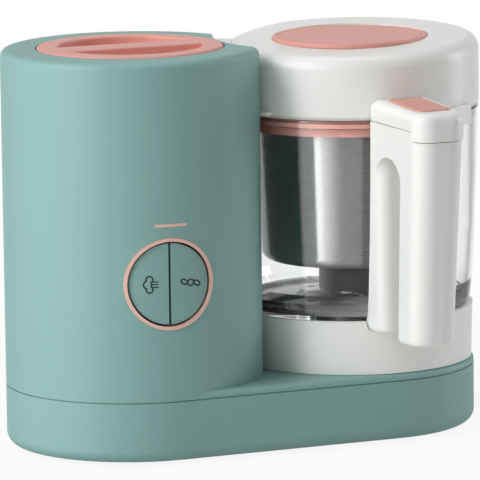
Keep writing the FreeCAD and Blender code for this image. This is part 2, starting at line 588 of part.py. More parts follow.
def hull(sheet, near, far):
    """The outline of two discs and the tangents that join them."""
    near_r, far_r, pitch = worth(near), worth(far), worth("axis_pitch")
    lean = asin((near_r - far_r) / pitch)
    left = arc(sheet, "0", near, pi / 2 - lean, 3 * pi / 2 + lean)
    right = arc(sheet, "axis_pitch", far, -pi / 2 + lean, pi / 2 - lean)
    for side, left_end, right_end in ((1, 1, 2), (-1, 2, 1)):
        start = V(near_r * sin(lean), side * near_r * cos(lean), 0)
        stop = V(pitch + far_r * sin(lean), side * far_r * cos(lean), 0)
        line = sheet.addGeometry(Part.LineSegment(start, stop))
        sheet.addConstraint(Sketcher.Constraint("Tangent", line, 1, left, left_end))
        sheet.addConstraint(Sketcher.Constraint("Tangent", line, 2, right, right_end))
    return sheet


def crossing(radius, other, pitch):
    """The angle, seen from the first centre, at which two circles cross."""
    return acos((radius * radius + pitch * pitch - other * other) / (2 * radius * pitch))


def lens(sheet, outer, hollow):
    """A disc with the hollow for the jar taken out of its side."""
    big, cut, pitch = worth(outer), worth(hollow), worth("axis_pitch")
    here = crossing(big, cut, pitch)
    there = crossing(cut, big, pitch)
    rim = arc(sheet, "0", outer, here, 2 * pi - here)
    bite = arc(sheet, "axis_pitch", hollow, pi - there, pi + there)
    meet(sheet, rim, 1, bite, 1)
    meet(sheet, rim, 2, bite, 2)
    return sheet


def horseshoe(sheet, outer, inner, hollow):
    """A ring with the hollow for the jar taken out of its side."""
    big, small, cut, pitch = worth(outer), worth(inner), worth(hollow), worth("axis_pitch")
    wide, narrow = crossing(big, cut, pitch), crossing(small, cut, pitch)
    far, close = crossing(cut, big, pitch), crossing(cut, small, pitch)
    rim = arc(sheet, "0", outer, wide, 2 * pi - wide)
    core = arc(sheet, "0", inner, narrow, 2 * pi - narrow)
    upper = arc(sheet, "axis_pitch", hollow, pi - far, pi - close)
    lower = arc(sheet, "axis_pitch", hollow, pi + close, pi + far)
    meet(sheet, rim, 1, upper, 1)
    meet(sheet, core, 1, upper, 2)
    meet(sheet, core, 2, lower, 1)
    meet(sheet, rim, 2, lower, 2)
    return sheet


def soft_box(sheet, left, right, low, high, corner):
    """A rectangle with rounded corners."""
    round_r = worth(corner)
    spots = [(more(left, corner), more(low, corner), pi),
             (less(right, corner), more(low, corner), 1.5 * pi),
             (less(right, corner), less(high, corner), 0.0),
             (more(left, corner), less(high, corner), 0.5 * pi)]
    arcs = []
    for across, along, start in spots:
        curve = Part.Circle(V(worth(across), worth(along), 0), V(0, 0, 1), round_r)
        element = sheet.addGeometry(Part.ArcOfCircle(curve, start, start + pi / 2))
        pin(sheet, element, 3, across, along)
        size_arc(sheet, element, corner)
        arcs.append(element)
    for i, element in enumerate(arcs):
        following = arcs[(i + 1) % 4]
        start = sheet.getPoint(element, 2)
        stop = sheet.getPoint(following, 1)
        line = sheet.addGeometry(Part.LineSegment(start, stop))
        sheet.addConstraint(Sketcher.Constraint("Tangent", line, 1, element, 2))
        sheet.addConstraint(Sketcher.Constraint("Tangent", line, 2, following, 1))
    return sheet


def segment(sheet, radius, chord, side):
    """The part of a disc beyond a chord, on one side of the sketch's second axis."""
    big, far = worth(radius), worth(chord)
    half = acos(far / big)
    middle = 0.0 if side > 0 else pi
    curve = Part.Circle(V(0, 0, 0), V(0, 0, 1), big)
    bow = sheet.addGeometry(Part.ArcOfCircle(curve, middle - half, middle + half))
    sheet.addConstraint(Sketcher.Constraint("Coincident", bow, 3, -1, 1))
    size_arc(sheet, bow, radius)
    string = sheet.addGeometry(Part.LineSegment(sheet.getPoint(bow, 2), sheet.getPoint(bow, 1)))
    meet(sheet, bow, 2, string, 1)
    meet(sheet, string, 2, bow, 1)
    sheet.addConstraint(Sketcher.Constraint("Vertical", string))
    hold(sheet, "DistanceX", string, 1, chord if side > 0 else f"-({chord})")
    return sheet


def feature(kind, body, sheet, suffix):
    made = body.newObject(f"PartDesign::{kind}", f"{sheet.Name}_{suffix}")
    made.Profile = sheet
    return made


def pad(body, sheet, length, flip=False, both=False):
    made = feature("Pad", body, sheet, "pad")
    tie(made, "Length", length)
    made.Reversed = flip
    if both:
        made.SideType = "Symmetric"
    doc.recompute()
    return made


def loft(body, near, far, cut=False):
    """A straight-sided blend from one sketch to another."""
    made = feature("SubtractiveLoft" if cut else "AdditiveLoft", body, near, "loft")
    made.Sections = [far]
    made.Ruled = True
    doc.recompute()
    return made


def pocket(body, sheet, length=None, flip=False, both=False):
    """A cut along the sketch's normal, right through when no length is given."""
    made = feature("Pocket", body, sheet, "cut")
    made.Reversed = flip
    if length is None:
        made.Type = "ThroughAll"
    else:
        tie(made, "Length", length)
    if both:
        made.SideType = "Symmetric"
    doc.recompute()
    return made


def sweep(body, sheet, cut=False, angle="360"):
    """A turn of the sketch about the upright axis."""
    made = feature("Groove" if cut else "Revolution", body, sheet, "turn")
    made.ReferenceAxis = (sheet, ["V_Axis"])
    tie(made, "Angle", angle)
    doc.recompute()
    return made


def rounding(body, radius, wanted):
    """Rounds the edges of the last feature that a test picks out."""
    base = body.Tip
    names = [f"Edge{i}" for i, edge in enumerate(base.Shape.Edges, 1) if wanted(edge)]
    made = body.newObject("PartDesign::Fillet", f"{body.Label}_round")
    made.Base = (base, names)
    tie(made, "Radius", radius)
    doc.recompute()
    if not names or "Invalid" in made.State or not made.Shape.isValid():
        raise RuntimeError(f"{body.Label}: no rounding on {len(names)} edges, {made.State}")
    return made


def ring_edge(radius, height):
    """Picks the round edge of one radius at one height."""
    wide, level = worth(radius), worth(height)

    def wanted(edge):
        box = edge.BoundBox
        flat = abs(box.ZMin - level) < 0.02 and abs(box.ZMax - level) < 0.02
        return flat and isinstance(edge.Curve, Part.Circle) and abs(edge.Curve.Radius - wide) < 0.02
    return wanted


def level_edge(height):
    level = worth(height)

    def wanted(edge):
        return abs(edge.BoundBox.ZMin - level) < 0.02 and abs(edge.BoundBox.ZMax - level) < 0.02
    return wanted


def around(body, features, count):
    """Repeats features evenly about the upright axis."""
    made = body.newObject("PartDesign::PolarPattern", f"{body.Label}_around")
    axis = [item for item in body.Origin.OriginFeatures if item.Role == "Z_Axis"][0]
    made.Originals = features
    made.Axis = (axis, [""])
    made.Angle = 360
    made.Occurrences = count
    body.Tip = made
    doc.recompute()
    return made


def turned(label, site, corners, axis=None, angle="0"):
    """A sub-part turned from one outline."""
    body = piece(label, site, axis, angle)
    sweep(body, polygon(drawing(body, "profile", "XZ"), corners))
    return body


def ring_section(inner, outer, low, high):
    return [(inner, low), (outer, low), (outer, high), (inner, high)]


def polar(radius, angle):
    return (f"({radius}) * cos({angle})", f"({radius}) * sin({angle})")


TOWER_POSTS = [polar("post_ring", angle) for angle in (115, 180, 245)]
DECK_POSTS = [("axis_pitch + deck_post_past", "deck_post_out"),
              ("axis_pitch + deck_post_past", "-deck_post_out")]
BRACKET_POSTS = [polar("bracket_ring", angle) for angle in (60, 180, 300)]
FEET = [("-foot_left", "0"), ("foot_right", "foot_apart"), ("foot_right", "-foot_apart"),
        ("axis_pitch + deck_foot_past", "deck_foot_apart"), ("axis_pitch + deck_foot_past",
            "-deck_foot_apart")]

# Upper housing: deck and tower in one moulding
housing = piece("upper_housing", TOWER)
pad(housing, hull(drawing(housing, "deck", height="seam_height"), "tower_radius - deck_inset",
                  "deck_radius"),
    "deck_height - seam_height")
rounding(housing, "deck_round", level_edge("deck_height"))
pad(housing, circle(drawing(housing, "tower", height="seam_height"), "0", "0", "tower_radius"),
    "tower_top - seam_height")
rounding(housing, "tower_round", ring_edge("tower_radius", "tower_top"))
pocket(housing, circle(drawing(housing, "scoop", height="deck_height"), "axis_pitch", "0", "scoop_radius"),
       flip=True)


def scoop_corner(edge):
    """The upright edges and the top edge of the hollow round the jar."""
    spot = edge.CenterOfMass
    away = V(spot.x - worth("axis_pitch"), spot.y, 0).Length
    box = edge.BoundBox
    upright = box.ZLength > 50 and abs(away - worth("scoop_radius")) < 0.05
    return upright and abs(V(spot.x, spot.y, 0).Length - worth("tower_radius")) < 0.05


rounding(housing, "scoop_round", scoop_corner)
pocket(housing, hull(drawing(housing, "deck_hollow", height="seam_height"), "tower_radius - housing_wall",
                     "deck_radius - housing_wall"), less(DECK_UNDER, "seam_height"), flip=True)
pocket(housing, lens(drawing(housing, "tower_hollow", height="seam_height"), "tower_radius - housing_wall",
                     "scoop_radius + housing_wall"), less(WELL_UNDER, "seam_height"), flip=True)
pocket(housing, horseshoe(drawing(housing, "top_hollow", height=WELL_UNDER), "tower_radius - housing_wall",
                          "cap_radius + cap_gap + well_wall", "scoop_radius + housing_wall"),
       less("tower_top - housing_wall", WELL_UNDER), flip=True)
pocket(housing, circle(drawing(housing, "well", height="tower_top"), "0", "0", "cap_radius + cap_gap"),
       "tower_top - well_floor")
pocket(housing, circle(drawing(housing, "mouth", height="well_floor"), "0", "0",
                       "neck_radius + neck_wall + 2 * slip"),
       "well_plate + cut_over")
pocket(housing, circle(drawing(housing, "panel", "XZ", turn="-panel_turn"), "0", "panel_height",
                       "ring_radius + slip"),
       flip=True)
pocket(housing, circle(drawing(housing, "port", "YZ"), "0", "port_height", "port_radius + slip"), flip=True)
accent_start = "-90 - panel_turn - accent_length / 2 + accent_trim"
sweep(housing, polygon(drawing(housing, "accent", "XZ", turn=accent_start), ring_section(
    "tower_radius - accent_depth", "tower_radius + past_face - 2 * cut_over",
    "accent_height - accent_width / 2",
    "accent_height + accent_width / 2")), cut=True, angle="accent_length")
bosses = drawing(housing, "bosses", height="seam_height")
for across, along in TOWER_POSTS:
    circle(bosses, across, along, "post_radius + boss_wall")
pad(housing, bosses, "boss_height")
boss_holes = drawing(housing, "boss_holes", height="seam_height")
for across, along in TOWER_POSTS:
    circle(boss_holes, across, along, "screw_radius")
pocket(housing, boss_holes, "boss_height - boss_cap", flip=True)
bush_boss = drawing(housing, "bush_boss", height=DECK_UNDER)
circle(bush_boss, "axis_pitch", "0", "bush_radius + bush_wall")
pad(housing, bush_boss, "bush_boss", flip=True)
pocket(housing, circle(drawing(housing, "bush_hole", height="deck_height"), "axis_pitch", "0",
                       "bush_radius"),
       "deck_plate + bush_boss + 3 * cut_over")

# Base pan
pan = piece("base_pan", TOWER)
pad(pan, hull(drawing(pan, "outline"), "tower_radius", "deck_radius"), "seam_height - seam_gap")
rounding(pan, "pan_round", level_edge("0"))
pad(pan, hull(drawing(pan, "lip", height="seam_height - seam_gap - cut_over"), "tower_radius - seam_lip",
              "deck_radius - seam_lip"), "seam_gap + cut_over")
pocket(pan, hull(drawing(pan, "hollow", height="pan_floor"), "tower_radius - housing_wall",
                 "deck_radius - housing_wall"), flip=True)
rounding(pan, "pan_round - housing_wall + screw_overlap", lambda edge: level_edge("pan_floor")(edge)
         and edge.CenterOfMass.Length > 1)
posts = drawing(pan, "posts", height="pan_floor / 2")
for across, along in TOWER_POSTS:
    circle(posts, across, along, "post_radius")
pad(pan, posts, "seam_height - pan_floor / 2")
deck_posts = drawing(pan, "deck_posts", height="pan_floor / 2")
for across, along in DECK_POSTS:
    circle(deck_posts, across, along, "post_radius")
pad(pan, deck_posts, less(DECK_UNDER, "pan_floor / 2"))
bracket_posts = drawing(pan, "bracket_posts", height="pan_floor / 2")
for across, along in BRACKET_POSTS:
    circle(bracket_posts, across, along, "post_radius")
pad(pan, bracket_posts, "motor_base - bracket_plate - pan_floor / 2")
seat = drawing(pan, "bush_seat", height="pan_floor / 2")
circle(seat, "axis_pitch", "0", "bush_radius + bush_wall")
pad(pan, seat, "belt_height - pulley_flange - pan_floor / 2 - seat_slack")
pocket(pan, circle(drawing(pan, "bush_hole", height="pan_floor"), "axis_pitch", "0", "bush_radius"),
       flip=True)
shanks = drawing(pan, "screw_holes")
heads = drawing(pan, "head_holes")
for across, along in TOWER_POSTS + DECK_POSTS:
    circle(shanks, across, along, "screw_radius")
    circle(heads, across, along, "screw_head + 2 * slip")
pocket(pan, shanks, flip=True)
pocket(pan, heads, "head_depth", flip=True)
vents = drawing(pan, "vents")
for step in (-2, -1, 1, 2):
    soft_box(vents, f"{step} * vent_pitch - vent_half", f"{step} * vent_pitch + vent_half",
             "-vent_reach", "vent_reach", "vent_corner")
pocket(pan, vents, "pan_floor + cut_over", flip=True)
pocket(pan, circle(drawing(pan, "gland", "XZ", turn=f"-({GLAND_TURN})"), "0", "gland_height",
                   "gland_radius + slip"))

# Feet, screws and the cord's grommet
feet = piece("feet", TOWER)
pads = drawing(feet, "pads", height="-foot_height")
for across, along in FEET:
    circle(pads, across, along, "foot_radius")
pad(feet, pads, "foot_height")


def screw_set(label, spots, length):
    """One solid per screw: a flat head below and a shank that ends in its boss."""
    body = piece(label, TOWER)
    heads = drawing(body, "heads", height="head_depth - head_height")
    shanks = drawing(body, "shanks", height="head_depth - screw_overlap")
    for across, along in spots:
        circle(heads, across, along, "screw_head")
        circle(shanks, across, along, "screw_radius")
    pad(body, heads, "head_height")
    pad(body, shanks, length)


screw_set("pan_screws", TOWER_POSTS, "seam_height + boss_height - head_depth - screw_short")
screw_set("deck_screws", DECK_POSTS, less(DECK_UNDER, "head_depth - screw_overlap"))
GLAND_X = more(TOWER_X, f"tower_radius * sin({GLAND_TURN})")
GLAND_Y = more(AXIS_Y, f"tower_radius * cos({GLAND_TURN})")
gland_lean = radians(worth(GLAND_TURN))
gland_axis = V(-cos(gland_lean), sin(gland_lean), 0)
turned("cord_grommet", (GLAND_X, GLAND_Y, "foot_height + gland_height"), [
    ("gland_bore", "-housing_wall - gland_slack - gland_inner"),
    ("gland_radius + gland_flange", "-housing_wall - gland_slack - gland_inner"),
    ("gland_radius + gland_flange", "-housing_wall - gland_slack"),
    ("gland_radius", "-housing_wall - gland_slack"),
    ("gland_radius", "0"),
    ("gland_radius + gland_flange", "0"), ("gland_radius + gland_flange / 2", "gland_proud"),
    ("gland_bore", "gland_proud")],
    gland_axis, "90")

# Water tank, heater and steam nozzle
turned("water_tank", TOWER, [
    ("0", TANK_UNDER), ("tank_radius", TANK_UNDER), ("tank_radius", WELL_UNDER),
    ("neck_radius + neck_wall", WELL_UNDER), ("neck_radius + neck_wall", NECK_TOP),
    ("neck_radius", NECK_TOP),
    ("neck_radius", less(WELL_UNDER, "tank_wall + weld_sink")),
    ("tank_radius - tank_wall", less(WELL_UNDER, "tank_wall + weld_sink")),
    ("tank_radius - tank_wall", "tank_floor"),
    ("0", "tank_floor")])
tank = PIECES[-1]
rounding(tank, "tank_corner", ring_edge("tank_radius - tank_wall", "tank_floor"))
pocket(tank, circle(drawing(tank, "port", "YZ"), "0", "port_height - duct_drop", "port_radius - port_wall"),
       flip=True)
turned("heater_plate", TOWER, [("0", HEATER_UNDER), ("heater_plate_radius", HEATER_UNDER),
                               ("heater_plate_radius", TANK_UNDER), ("0", TANK_UNDER)])
turned("heater_element", TOWER, ring_section(
    "element_radius - element_width / 2", "element_radius + element_width / 2",
    less(HEATER_UNDER, "element_width"), HEATER_UNDER))
element = PIECES[-1]
rounding(element, "element_round", level_edge(less(HEATER_UNDER, "element_width")))
tails = drawing(element, "tails", height=less(HEATER_UNDER, "element_width / 2"))
for side in ("", "-"):
    circle(tails, "-element_radius", f"{side}tail_out", "tail_radius")
pad(element, tails, "element_width / 2 + tail_length", flip=True)
turned("thermostat", TOWER, [("0", less(HEATER_UNDER, "stat_height")),
                             ("stat_neck", less(HEATER_UNDER, "stat_height")),
                             ("stat_neck", less(HEATER_UNDER, "stat_case")),
                             ("stat_radius", less(HEATER_UNDER, "stat_case")),
                             ("stat_radius", HEATER_UNDER),
                             ("0", HEATER_UNDER)])
nozzle_end = "axis_pitch - scoop_radius"
nozzle = piece("steam_nozzle", TOWER)
tube = drawing(nozzle, "tube", "YZ", height="tank_radius")
circle(tube, "0", "port_height", "port_radius")
pad(nozzle, tube, less(nozzle_end, "tank_radius"))
box = drawing(nozzle, "box", "YZ", height="tank_radius")
soft_box(box, "-port_radius", "port_radius", "port_height - duct_drop - port_radius",
         "port_height + port_radius", "duct_corner")
pad(nozzle, box, less(nozzle_end, "tank_radius + housing_wall + duct_set"))
pocket(nozzle, circle(drawing(nozzle, "bore", "YZ", height=nozzle_end), "0", "port_height",
                      "port_radius - port_wall"), less(nozzle_end, "tank_radius + 2 * duct_set"))
pocket(nozzle, soft_box(drawing(nozzle, "duct", "YZ", height="tank_radius"), "-port_radius + port_wall",
                        "port_radius - port_wall", "port_height - duct_drop - port_radius + port_wall",
                        "port_height + port_radius - port_wall", "duct_corner / 2"), "duct_corner / 2",
       flip=True)

# Tank stopper and cap
turned("tank_stopper", TOWER, [
    ("neck_radius - plug_gap - plug_wall", less(NECK_TOP, "plug_depth")),
    ("neck_radius - plug_gap", less(NECK_TOP, "plug_depth")), ("neck_radius - plug_gap", FLANGE_LOW),
    ("plug_flange", FLANGE_LOW), ("plug_flange", FLANGE_TOP), ("pivot_radius", FLANGE_TOP),
    ("pivot_radius", more(FLANGE_TOP, "pivot_height")), ("0", more(FLANGE_TOP, "pivot_height")),
    ("0", FLANGE_LOW),
    ("neck_radius - plug_gap - plug_wall", FLANGE_LOW)])
turned("stopper_seal", TOWER, ring_section("neck_radius - plug_gap", "neck_radius + neck_wall",
                                           more(NECK_TOP, "part_gap"),
                                           FLANGE_LOW))
CAP_LOW = less(CAP_TOP, "cap_depth")
turned("tank_cap", TOWER, [
    ("pivot_radius + run_gap", CAP_LOW), ("cap_radius", CAP_LOW), ("cap_radius", CAP_TOP), ("0", CAP_TOP),
    ("0", more(FLANGE_TOP, "pivot_height + pivot_room")), ("pivot_radius + run_gap",
                                                    more(FLANGE_TOP, "pivot_height + pivot_room"))])
cap = PIECES[-1]
rounding(cap, "cap_round", ring_edge("cap_radius", CAP_TOP))
for name, side in (("front", -1), ("back", 1)):
    moon = drawing(cap, name, height=CAP_TOP)
    moon.AttachmentOffset = FreeCAD.Placement(V(0, 0, 0), FreeCAD.Rotation(V(0, 0, 1), 90))
    tie(moon, "AttachmentOffset.Base.z", CAP_TOP)
    pocket(cap, segment(moon, "grip_radius", "grip_bar / 2", side), "grip_depth")


def moon_edge(edge):
    """The upper edges of the two finger recesses."""
    spot = edge.CenterOfMass
    inside = V(spot.x, spot.y, 0).Length < worth("grip_radius") + 0.5
    return level_edge(CAP_TOP)(edge) and inside


rounding(cap, "grip_round", moon_edge)

# Control panel: ring, frame, board, switches and buttons
FRONT_CUT = more("tower_radius", "ring_proud")


def panel_piece(label):
    return piece(label, TOWER, V(0, 0, 1), "-panel_turn")


def trim(body, radius):
    """Cuts a panel piece back to a round face about the tower axis."""
    sweep(body, polygon(drawing(body, "face", "XZ"), ring_section(
        radius, "tower_radius + trim_far", "panel_height - panel_span", "panel_height + panel_span")),
        cut=True)


ring = panel_piece("button_ring")
loop = drawing(ring, "loop", "XZ", height="ring_back")
circle(loop, "0", "panel_height", "ring_radius")
circle(loop, "0", "panel_height", "ring_radius - ring_width")
pad(ring, loop, "tower_radius - ring_back + past_face")
trim(ring, FRONT_CUT)
frame = panel_piece("panel_frame")
pad(frame, circle(drawing(frame, "plate", "XZ", height="ring_back"), "0", "panel_height", "ring_radius"),
    "frame_plate", flip=True)
guides = drawing(frame, "guides", "XZ", height="ring_back")
for side in ("", "-"):
    circle(guides, f"{side}stem_out", "panel_height", "stem_radius + part_gap")
pocket(frame, guides)
legs = drawing(frame, "legs", "XZ", height="ring_back - frame_plate / 2")
for across in ("-leg_across", "leg_across"):
    for along in ("panel_height - leg_along", "panel_height + leg_along"):
        circle(legs, across, along, "leg_radius")
pad(frame, legs, "ring_back - frame_plate / 2 - board_back - board_plate", flip=True)
board = panel_piece("control_board")
pad(board, soft_box(drawing(board, "plate", "XZ", height="board_back"), "-board_half", "board_half",
                    "panel_height - board_reach",
                    "panel_height + board_reach", "board_corner"), "board_plate")
chips = drawing(board, "chips", "XZ", height="board_back + chip_sink")
soft_box(chips, "-chip_near - 1.5 * chip_deep", "-chip_near",
         "panel_height - chip_from - chip_deep + cut_over", "panel_height - chip_from", "chip_corner")
soft_box(chips, "chip_near", "chip_near + 2 * chip_deep", "panel_height + chip_from",
         "panel_height + chip_from + chip_deep", "chip_corner")
pad(board, chips, "chip_height", flip=True)
switches = panel_piece("tact_switches")
cases = drawing(switches, "cases", "XZ", height="board_back + board_plate")
tops = drawing(switches, "tops", "XZ", height="board_back + board_plate + switch_height - key_height")
for side in ("", "-"):
    soft_box(cases, f"{side}stem_out - switch_half", f"{side}stem_out + switch_half",
             "panel_height - switch_half",
             "panel_height + switch_half", "chip_corner")
    circle(tops, f"{side}stem_out", "panel_height", "switch_key")
pad(switches, cases, "switch_height - key_rise")
pad(switches, tops, "key_height")
STEM_END = "board_back + board_plate + switch_height + button_travel + stem_play"
for label, side in (("steam_button", -1), ("blend_button", 1)):
    button = panel_piece(label)
    face = drawing(button, "face_plan", "XZ", height="button_back")
    shift = "button_split / 2"
    reach = "ring_radius - ring_width - button_gap"
    disc_r, cut_x = worth(reach), worth(shift)
    half = acos(cut_x / disc_r)
    middle = 0.0 if side > 0 else pi
    curve = Part.Circle(V(0, worth("panel_height"), 0), V(0, 0, 1), disc_r)
    bow = face.addGeometry(Part.ArcOfCircle(curve, middle - half, middle + half))
    pin(face, bow, 3, "0", "panel_height")
    size_arc(face, bow, reach)
    string = face.addGeometry(Part.LineSegment(face.getPoint(bow, 2), face.getPoint(bow, 1)))
    meet(face, bow, 2, string, 1)
    meet(face, string, 2, bow, 1)
    face.addConstraint(Sketcher.Constraint("Vertical", string))
    hold(face, "DistanceX", string, 1, shift if side > 0 else f"-({shift})")
    pad(button, face, "tower_radius - button_back + past_face")
    trim(button, "tower_radius - button_sunk")
    stem = drawing(button, "stem", "XZ", height=STEM_END)
    circle(stem, "stem_out" if side > 0 else "-stem_out", "panel_height", "stem_radius")
    pad(button, stem, less("button_back + cut_over", STEM_END))
accent = piece("accent_bar", TOWER)
sweep(accent, polygon(drawing(accent, "bar", "XZ", turn=accent_start), ring_section(
    "tower_radius - accent_depth", "tower_radius + accent_proud", "accent_height - accent_width / 2",
    "accent_height + accent_width / 2")), angle="accent_length")

# Motor on its bracket
turned("motor_bracket", TOWER, ring_section(
    "shaft_radius + bracket_hole", "bracket_radius", "motor_base - bracket_plate", "motor_base"))
turned("motor_frame", TOWER, [
    ("shaft_radius + run_gap", "motor_base"), ("motor_radius", "motor_base"), ("motor_radius", STACK_LOW),
    ("motor_radius - bell_wall", STACK_LOW), ("motor_radius - bell_wall", "motor_base + bell_wall"),
    ("collar_radius", "motor_base + bell_wall"),
    ("collar_radius", "motor_base + collar_height"),
    ("shaft_radius + run_gap", "motor_base + collar_height")])
turned("motor_stator", TOWER, ring_section("stator_bore", "motor_radius", STACK_LOW, STACK_TOP))
turned("motor_end_cap", TOWER, [
    ("shaft_radius + run_gap", less(MOTOR_TOP, "collar_height - cut_over")),
    ("collar_radius", less(MOTOR_TOP, "collar_height - cut_over")),
    ("collar_radius", less(MOTOR_TOP, "bell_wall")),
    ("motor_radius - bell_wall", less(MOTOR_TOP, "bell_wall")), ("motor_radius - bell_wall", STACK_TOP),
    ("motor_radius", STACK_TOP),
    ("motor_radius", MOTOR_TOP), ("shaft_radius + run_gap", MOTOR_TOP)])
turned("motor_shaft", TOWER, [("0", "belt_height - pulley_flange - shaft_tip"),
                              ("shaft_radius", "belt_height - pulley_flange - shaft_tip"),
                              ("shaft_radius", more(MOTOR_TOP, "shaft_out")),
                              ("0", more(MOTOR_TOP, "shaft_out"))])
turned("motor_armature", TOWER, ring_section("shaft_radius", "stator_bore - air_gap", more(STACK_LOW, 2),
                                             less(STACK_TOP, 2)))
fan = turned("motor_fan", TOWER, ring_section("shaft_radius", "fan_hub", more(MOTOR_TOP, 2),
                                              more(MOTOR_TOP, 13)))
sweep(fan, polygon(drawing(fan, "plate", "XZ"), ring_section("fan_hub - vane_half", "fan_radius",
    more(MOTOR_TOP, 2),
    more(MOTOR_TOP, 4))))
vane = drawing(fan, "vane", height=more(MOTOR_TOP, 3))
polygon(vane, [("fan_hub - vane_half", "-vane_half"), ("fan_radius - vane_half", "-vane_half"),
               ("fan_radius - vane_half", "vane_half"),
               ("fan_hub - vane_half", "vane_half")])
around(fan, [pad(fan, vane, "vane_height")], 8)


def pulley(label, site, radius):
    """A flat pulley with a flange above and below its belt."""
    rim = f"{radius} + pulley_flange"
    return turned(label, site, [
        ("shaft_radius", "belt_height - pulley_flange"), (rim, "belt_height - pulley_flange"),
        (rim, "belt_height - 1.5 * belt_play"), (radius, "belt_height - belt_play"),
        (radius, more(BELT_TOP, "belt_play")),
        (rim, more(BELT_TOP, "1.5 * belt_play")), (rim, more(BELT_TOP, "pulley_flange")),
        ("shaft_radius", more(BELT_TOP, "pulley_flange"))])


pulley("motor_pulley", TOWER, "small_pulley")
drive_wheel = pulley("drive_pulley", BOWL, "large_pulley")
window = drawing(drive_wheel, "window", height="belt_height - pulley_flange - cut_over")
circle(window, "large_pulley * 0.6", "0", "large_pulley * 0.2")
around(drive_wheel, [pocket(drive_wheel, window, flip=True)], 5)
belt = piece("drive_belt", TOWER)
loop = drawing(belt, "loop", height="belt_height")
hull(loop, "small_pulley + part_gap + belt_plate", "large_pulley + part_gap + belt_plate")
hull(loop, "small_pulley + part_gap", "large_pulley + part_gap")
pad(belt, loop, "belt_width")

# Drive under the jar
SHAFT_LOW = "pan_floor + belt_play"
turned("drive_shaft", BOWL, [("0", SHAFT_LOW), ("shaft_radius", SHAFT_LOW),
                             ("shaft_radius", "dog_top - shaft_stop"),
                             ("0", "dog_top - shaft_stop")])
turned("lower_bush", BOWL, ring_section("shaft_radius + run_gap", "bush_radius", "pan_floor",
                                        "belt_height - pulley_flange - shaft_tip"))
turned("drive_bush", BOWL, [
    ("shaft_radius + run_gap", less(DECK_UNDER, 10)), ("bush_radius", less(DECK_UNDER, 10)),
    ("bush_radius", "deck_height"), ("bush_radius + bush_flange", "deck_height"),
    ("bush_radius + bush_flange", "deck_height + bush_lip"),
    ("shaft_radius + run_gap", "deck_height + bush_lip")])


def hexagon(sheet, across):
    """A six-sided outline of one width across its flats."""
    corner = f"({across}) / 2 / cos(30)"
    return polygon(sheet, [("0", corner), (f"-({across}) / 2", f"{corner} / 2"),
                           (f"-({across}) / 2", f"-({corner}) / 2"),
                           ("0", f"-({corner})"), (f"({across}) / 2", f"-({corner}) / 2"),
                           (f"({across}) / 2", f"{corner} / 2")])


dog = piece("drive_dog", BOWL)
pad(dog, hexagon(drawing(dog, "flats", height="deck_height + dog_lift"), "dog_across"),
    "dog_top - deck_height - dog_lift")
pocket(dog, circle(drawing(dog, "bore", height="deck_height"), "0", "0", "shaft_radius"),
       "dog_top - shaft_stop - deck_height",
       flip=True)

# Glass jar with its foot and the blade's bearing
JAR_SIDE = [("jar_base_radius", "jar_bottom"), ("jar_base_radius", "foot_top - socket_lip"),
            ("jar_radius - waist_in", "foot_top + waist_up"),
            ("jar_radius - low_in", "foot_top + low_up"), ("jar_radius - side_in", "foot_top + side_up"),
            ("jar_radius - neck_in", "jar_top - neck_down"),
            ("jar_radius", "jar_top")]
turned("glass_jar", BOWL, [("jar_hole", "jar_bottom")] + JAR_SIDE + [
    ("jar_radius - jar_wall", "jar_top"), ("jar_radius - jar_wall", LEDGE),
    ("jar_radius - jar_wall - ledge_width", LEDGE), ("jar_radius - side_bore", "foot_top + side_up"),
    ("jar_radius - low_bore", "foot_top + low_up"), ("jar_radius - sump_in", "foot_top + sump_up"),
    ("jar_radius - sump_bend", "jar_floor + bend_up"),
    ("jar_radius - floor_in", "jar_floor"), ("jar_hole", "jar_floor")])
glass = PIECES[-1]


def jar_lip(edge):
    """The outer edge of the jar's mouth."""
    return level_edge("jar_top")(edge) and edge.Curve.Radius > worth("jar_radius") - 1


rounding(glass, "lip_round", jar_lip)
foot = turned("jar_foot", BOWL, [
    ("foot_base_radius", "deck_height + part_gap"), ("foot_top_radius", "foot_top"),
    ("foot_top_radius - foot_wall", "foot_top"), ("foot_top_radius - foot_wall", "jar_bottom"),
    ("spindle_radius + fit_gap", "jar_bottom"), ("spindle_radius + fit_gap", SHELF_UNDER),
    ("foot_base_radius - foot_wall", SHELF_UNDER), ("foot_base_radius - foot_wall",
                                                    "deck_height + part_gap")])
notch = drawing(foot, "notch", "XZ", height="foot_top_radius - foot_wall - notch_in")
soft_box(notch, "-column_half - notch_gap", "column_half + notch_gap", "column_low",
         "foot_top + notch_over",
         "column_end + notch_gap")
pocket(foot, notch, "trim_far", flip=True)
ribs = drawing(foot, "rib", height=SHELF_UNDER)
polygon(ribs, [("spindle_radius + rib_start", "-rib_half"),
               ("foot_base_radius - foot_wall + rib_sink", "-rib_half"),
               ("foot_base_radius - foot_wall + rib_sink", "rib_half"),
               ("spindle_radius + rib_start", "rib_half")])
around(foot, [pad(foot, ribs, "rib_height", flip=True)], 8)
turned("blade_bearing", BOWL, [
    ("spin_radius + run_gap", less(SHELF_UNDER, "nut_height")),
    ("spindle_radius", less(SHELF_UNDER, "nut_height")),
    ("spindle_radius", SKIRT_LOW), ("skirt_radius", SKIRT_LOW), ("skirt_radius", more(SKIRT_LOW, 1)),
    ("hub_radius + cut_over", "wing_height - skirt_slack"),
    ("spin_radius + run_gap", "wing_height - skirt_slack")])
turned("blade_gasket", BOWL, ring_section("jar_hole + gasket_in", "skirt_radius - gasket_in", "jar_floor",
                                          SKIRT_LOW))
turned("blade_nut", BOWL, ring_section("spindle_radius + run_gap", "spindle_radius + nut_wall",
                                       less(SHELF_UNDER, "nut_height"),
                                       SHELF_UNDER))
nut = PIECES[-1]
flute = drawing(nut, "flute", height=less(SHELF_UNDER, "nut_height + cut_over"))
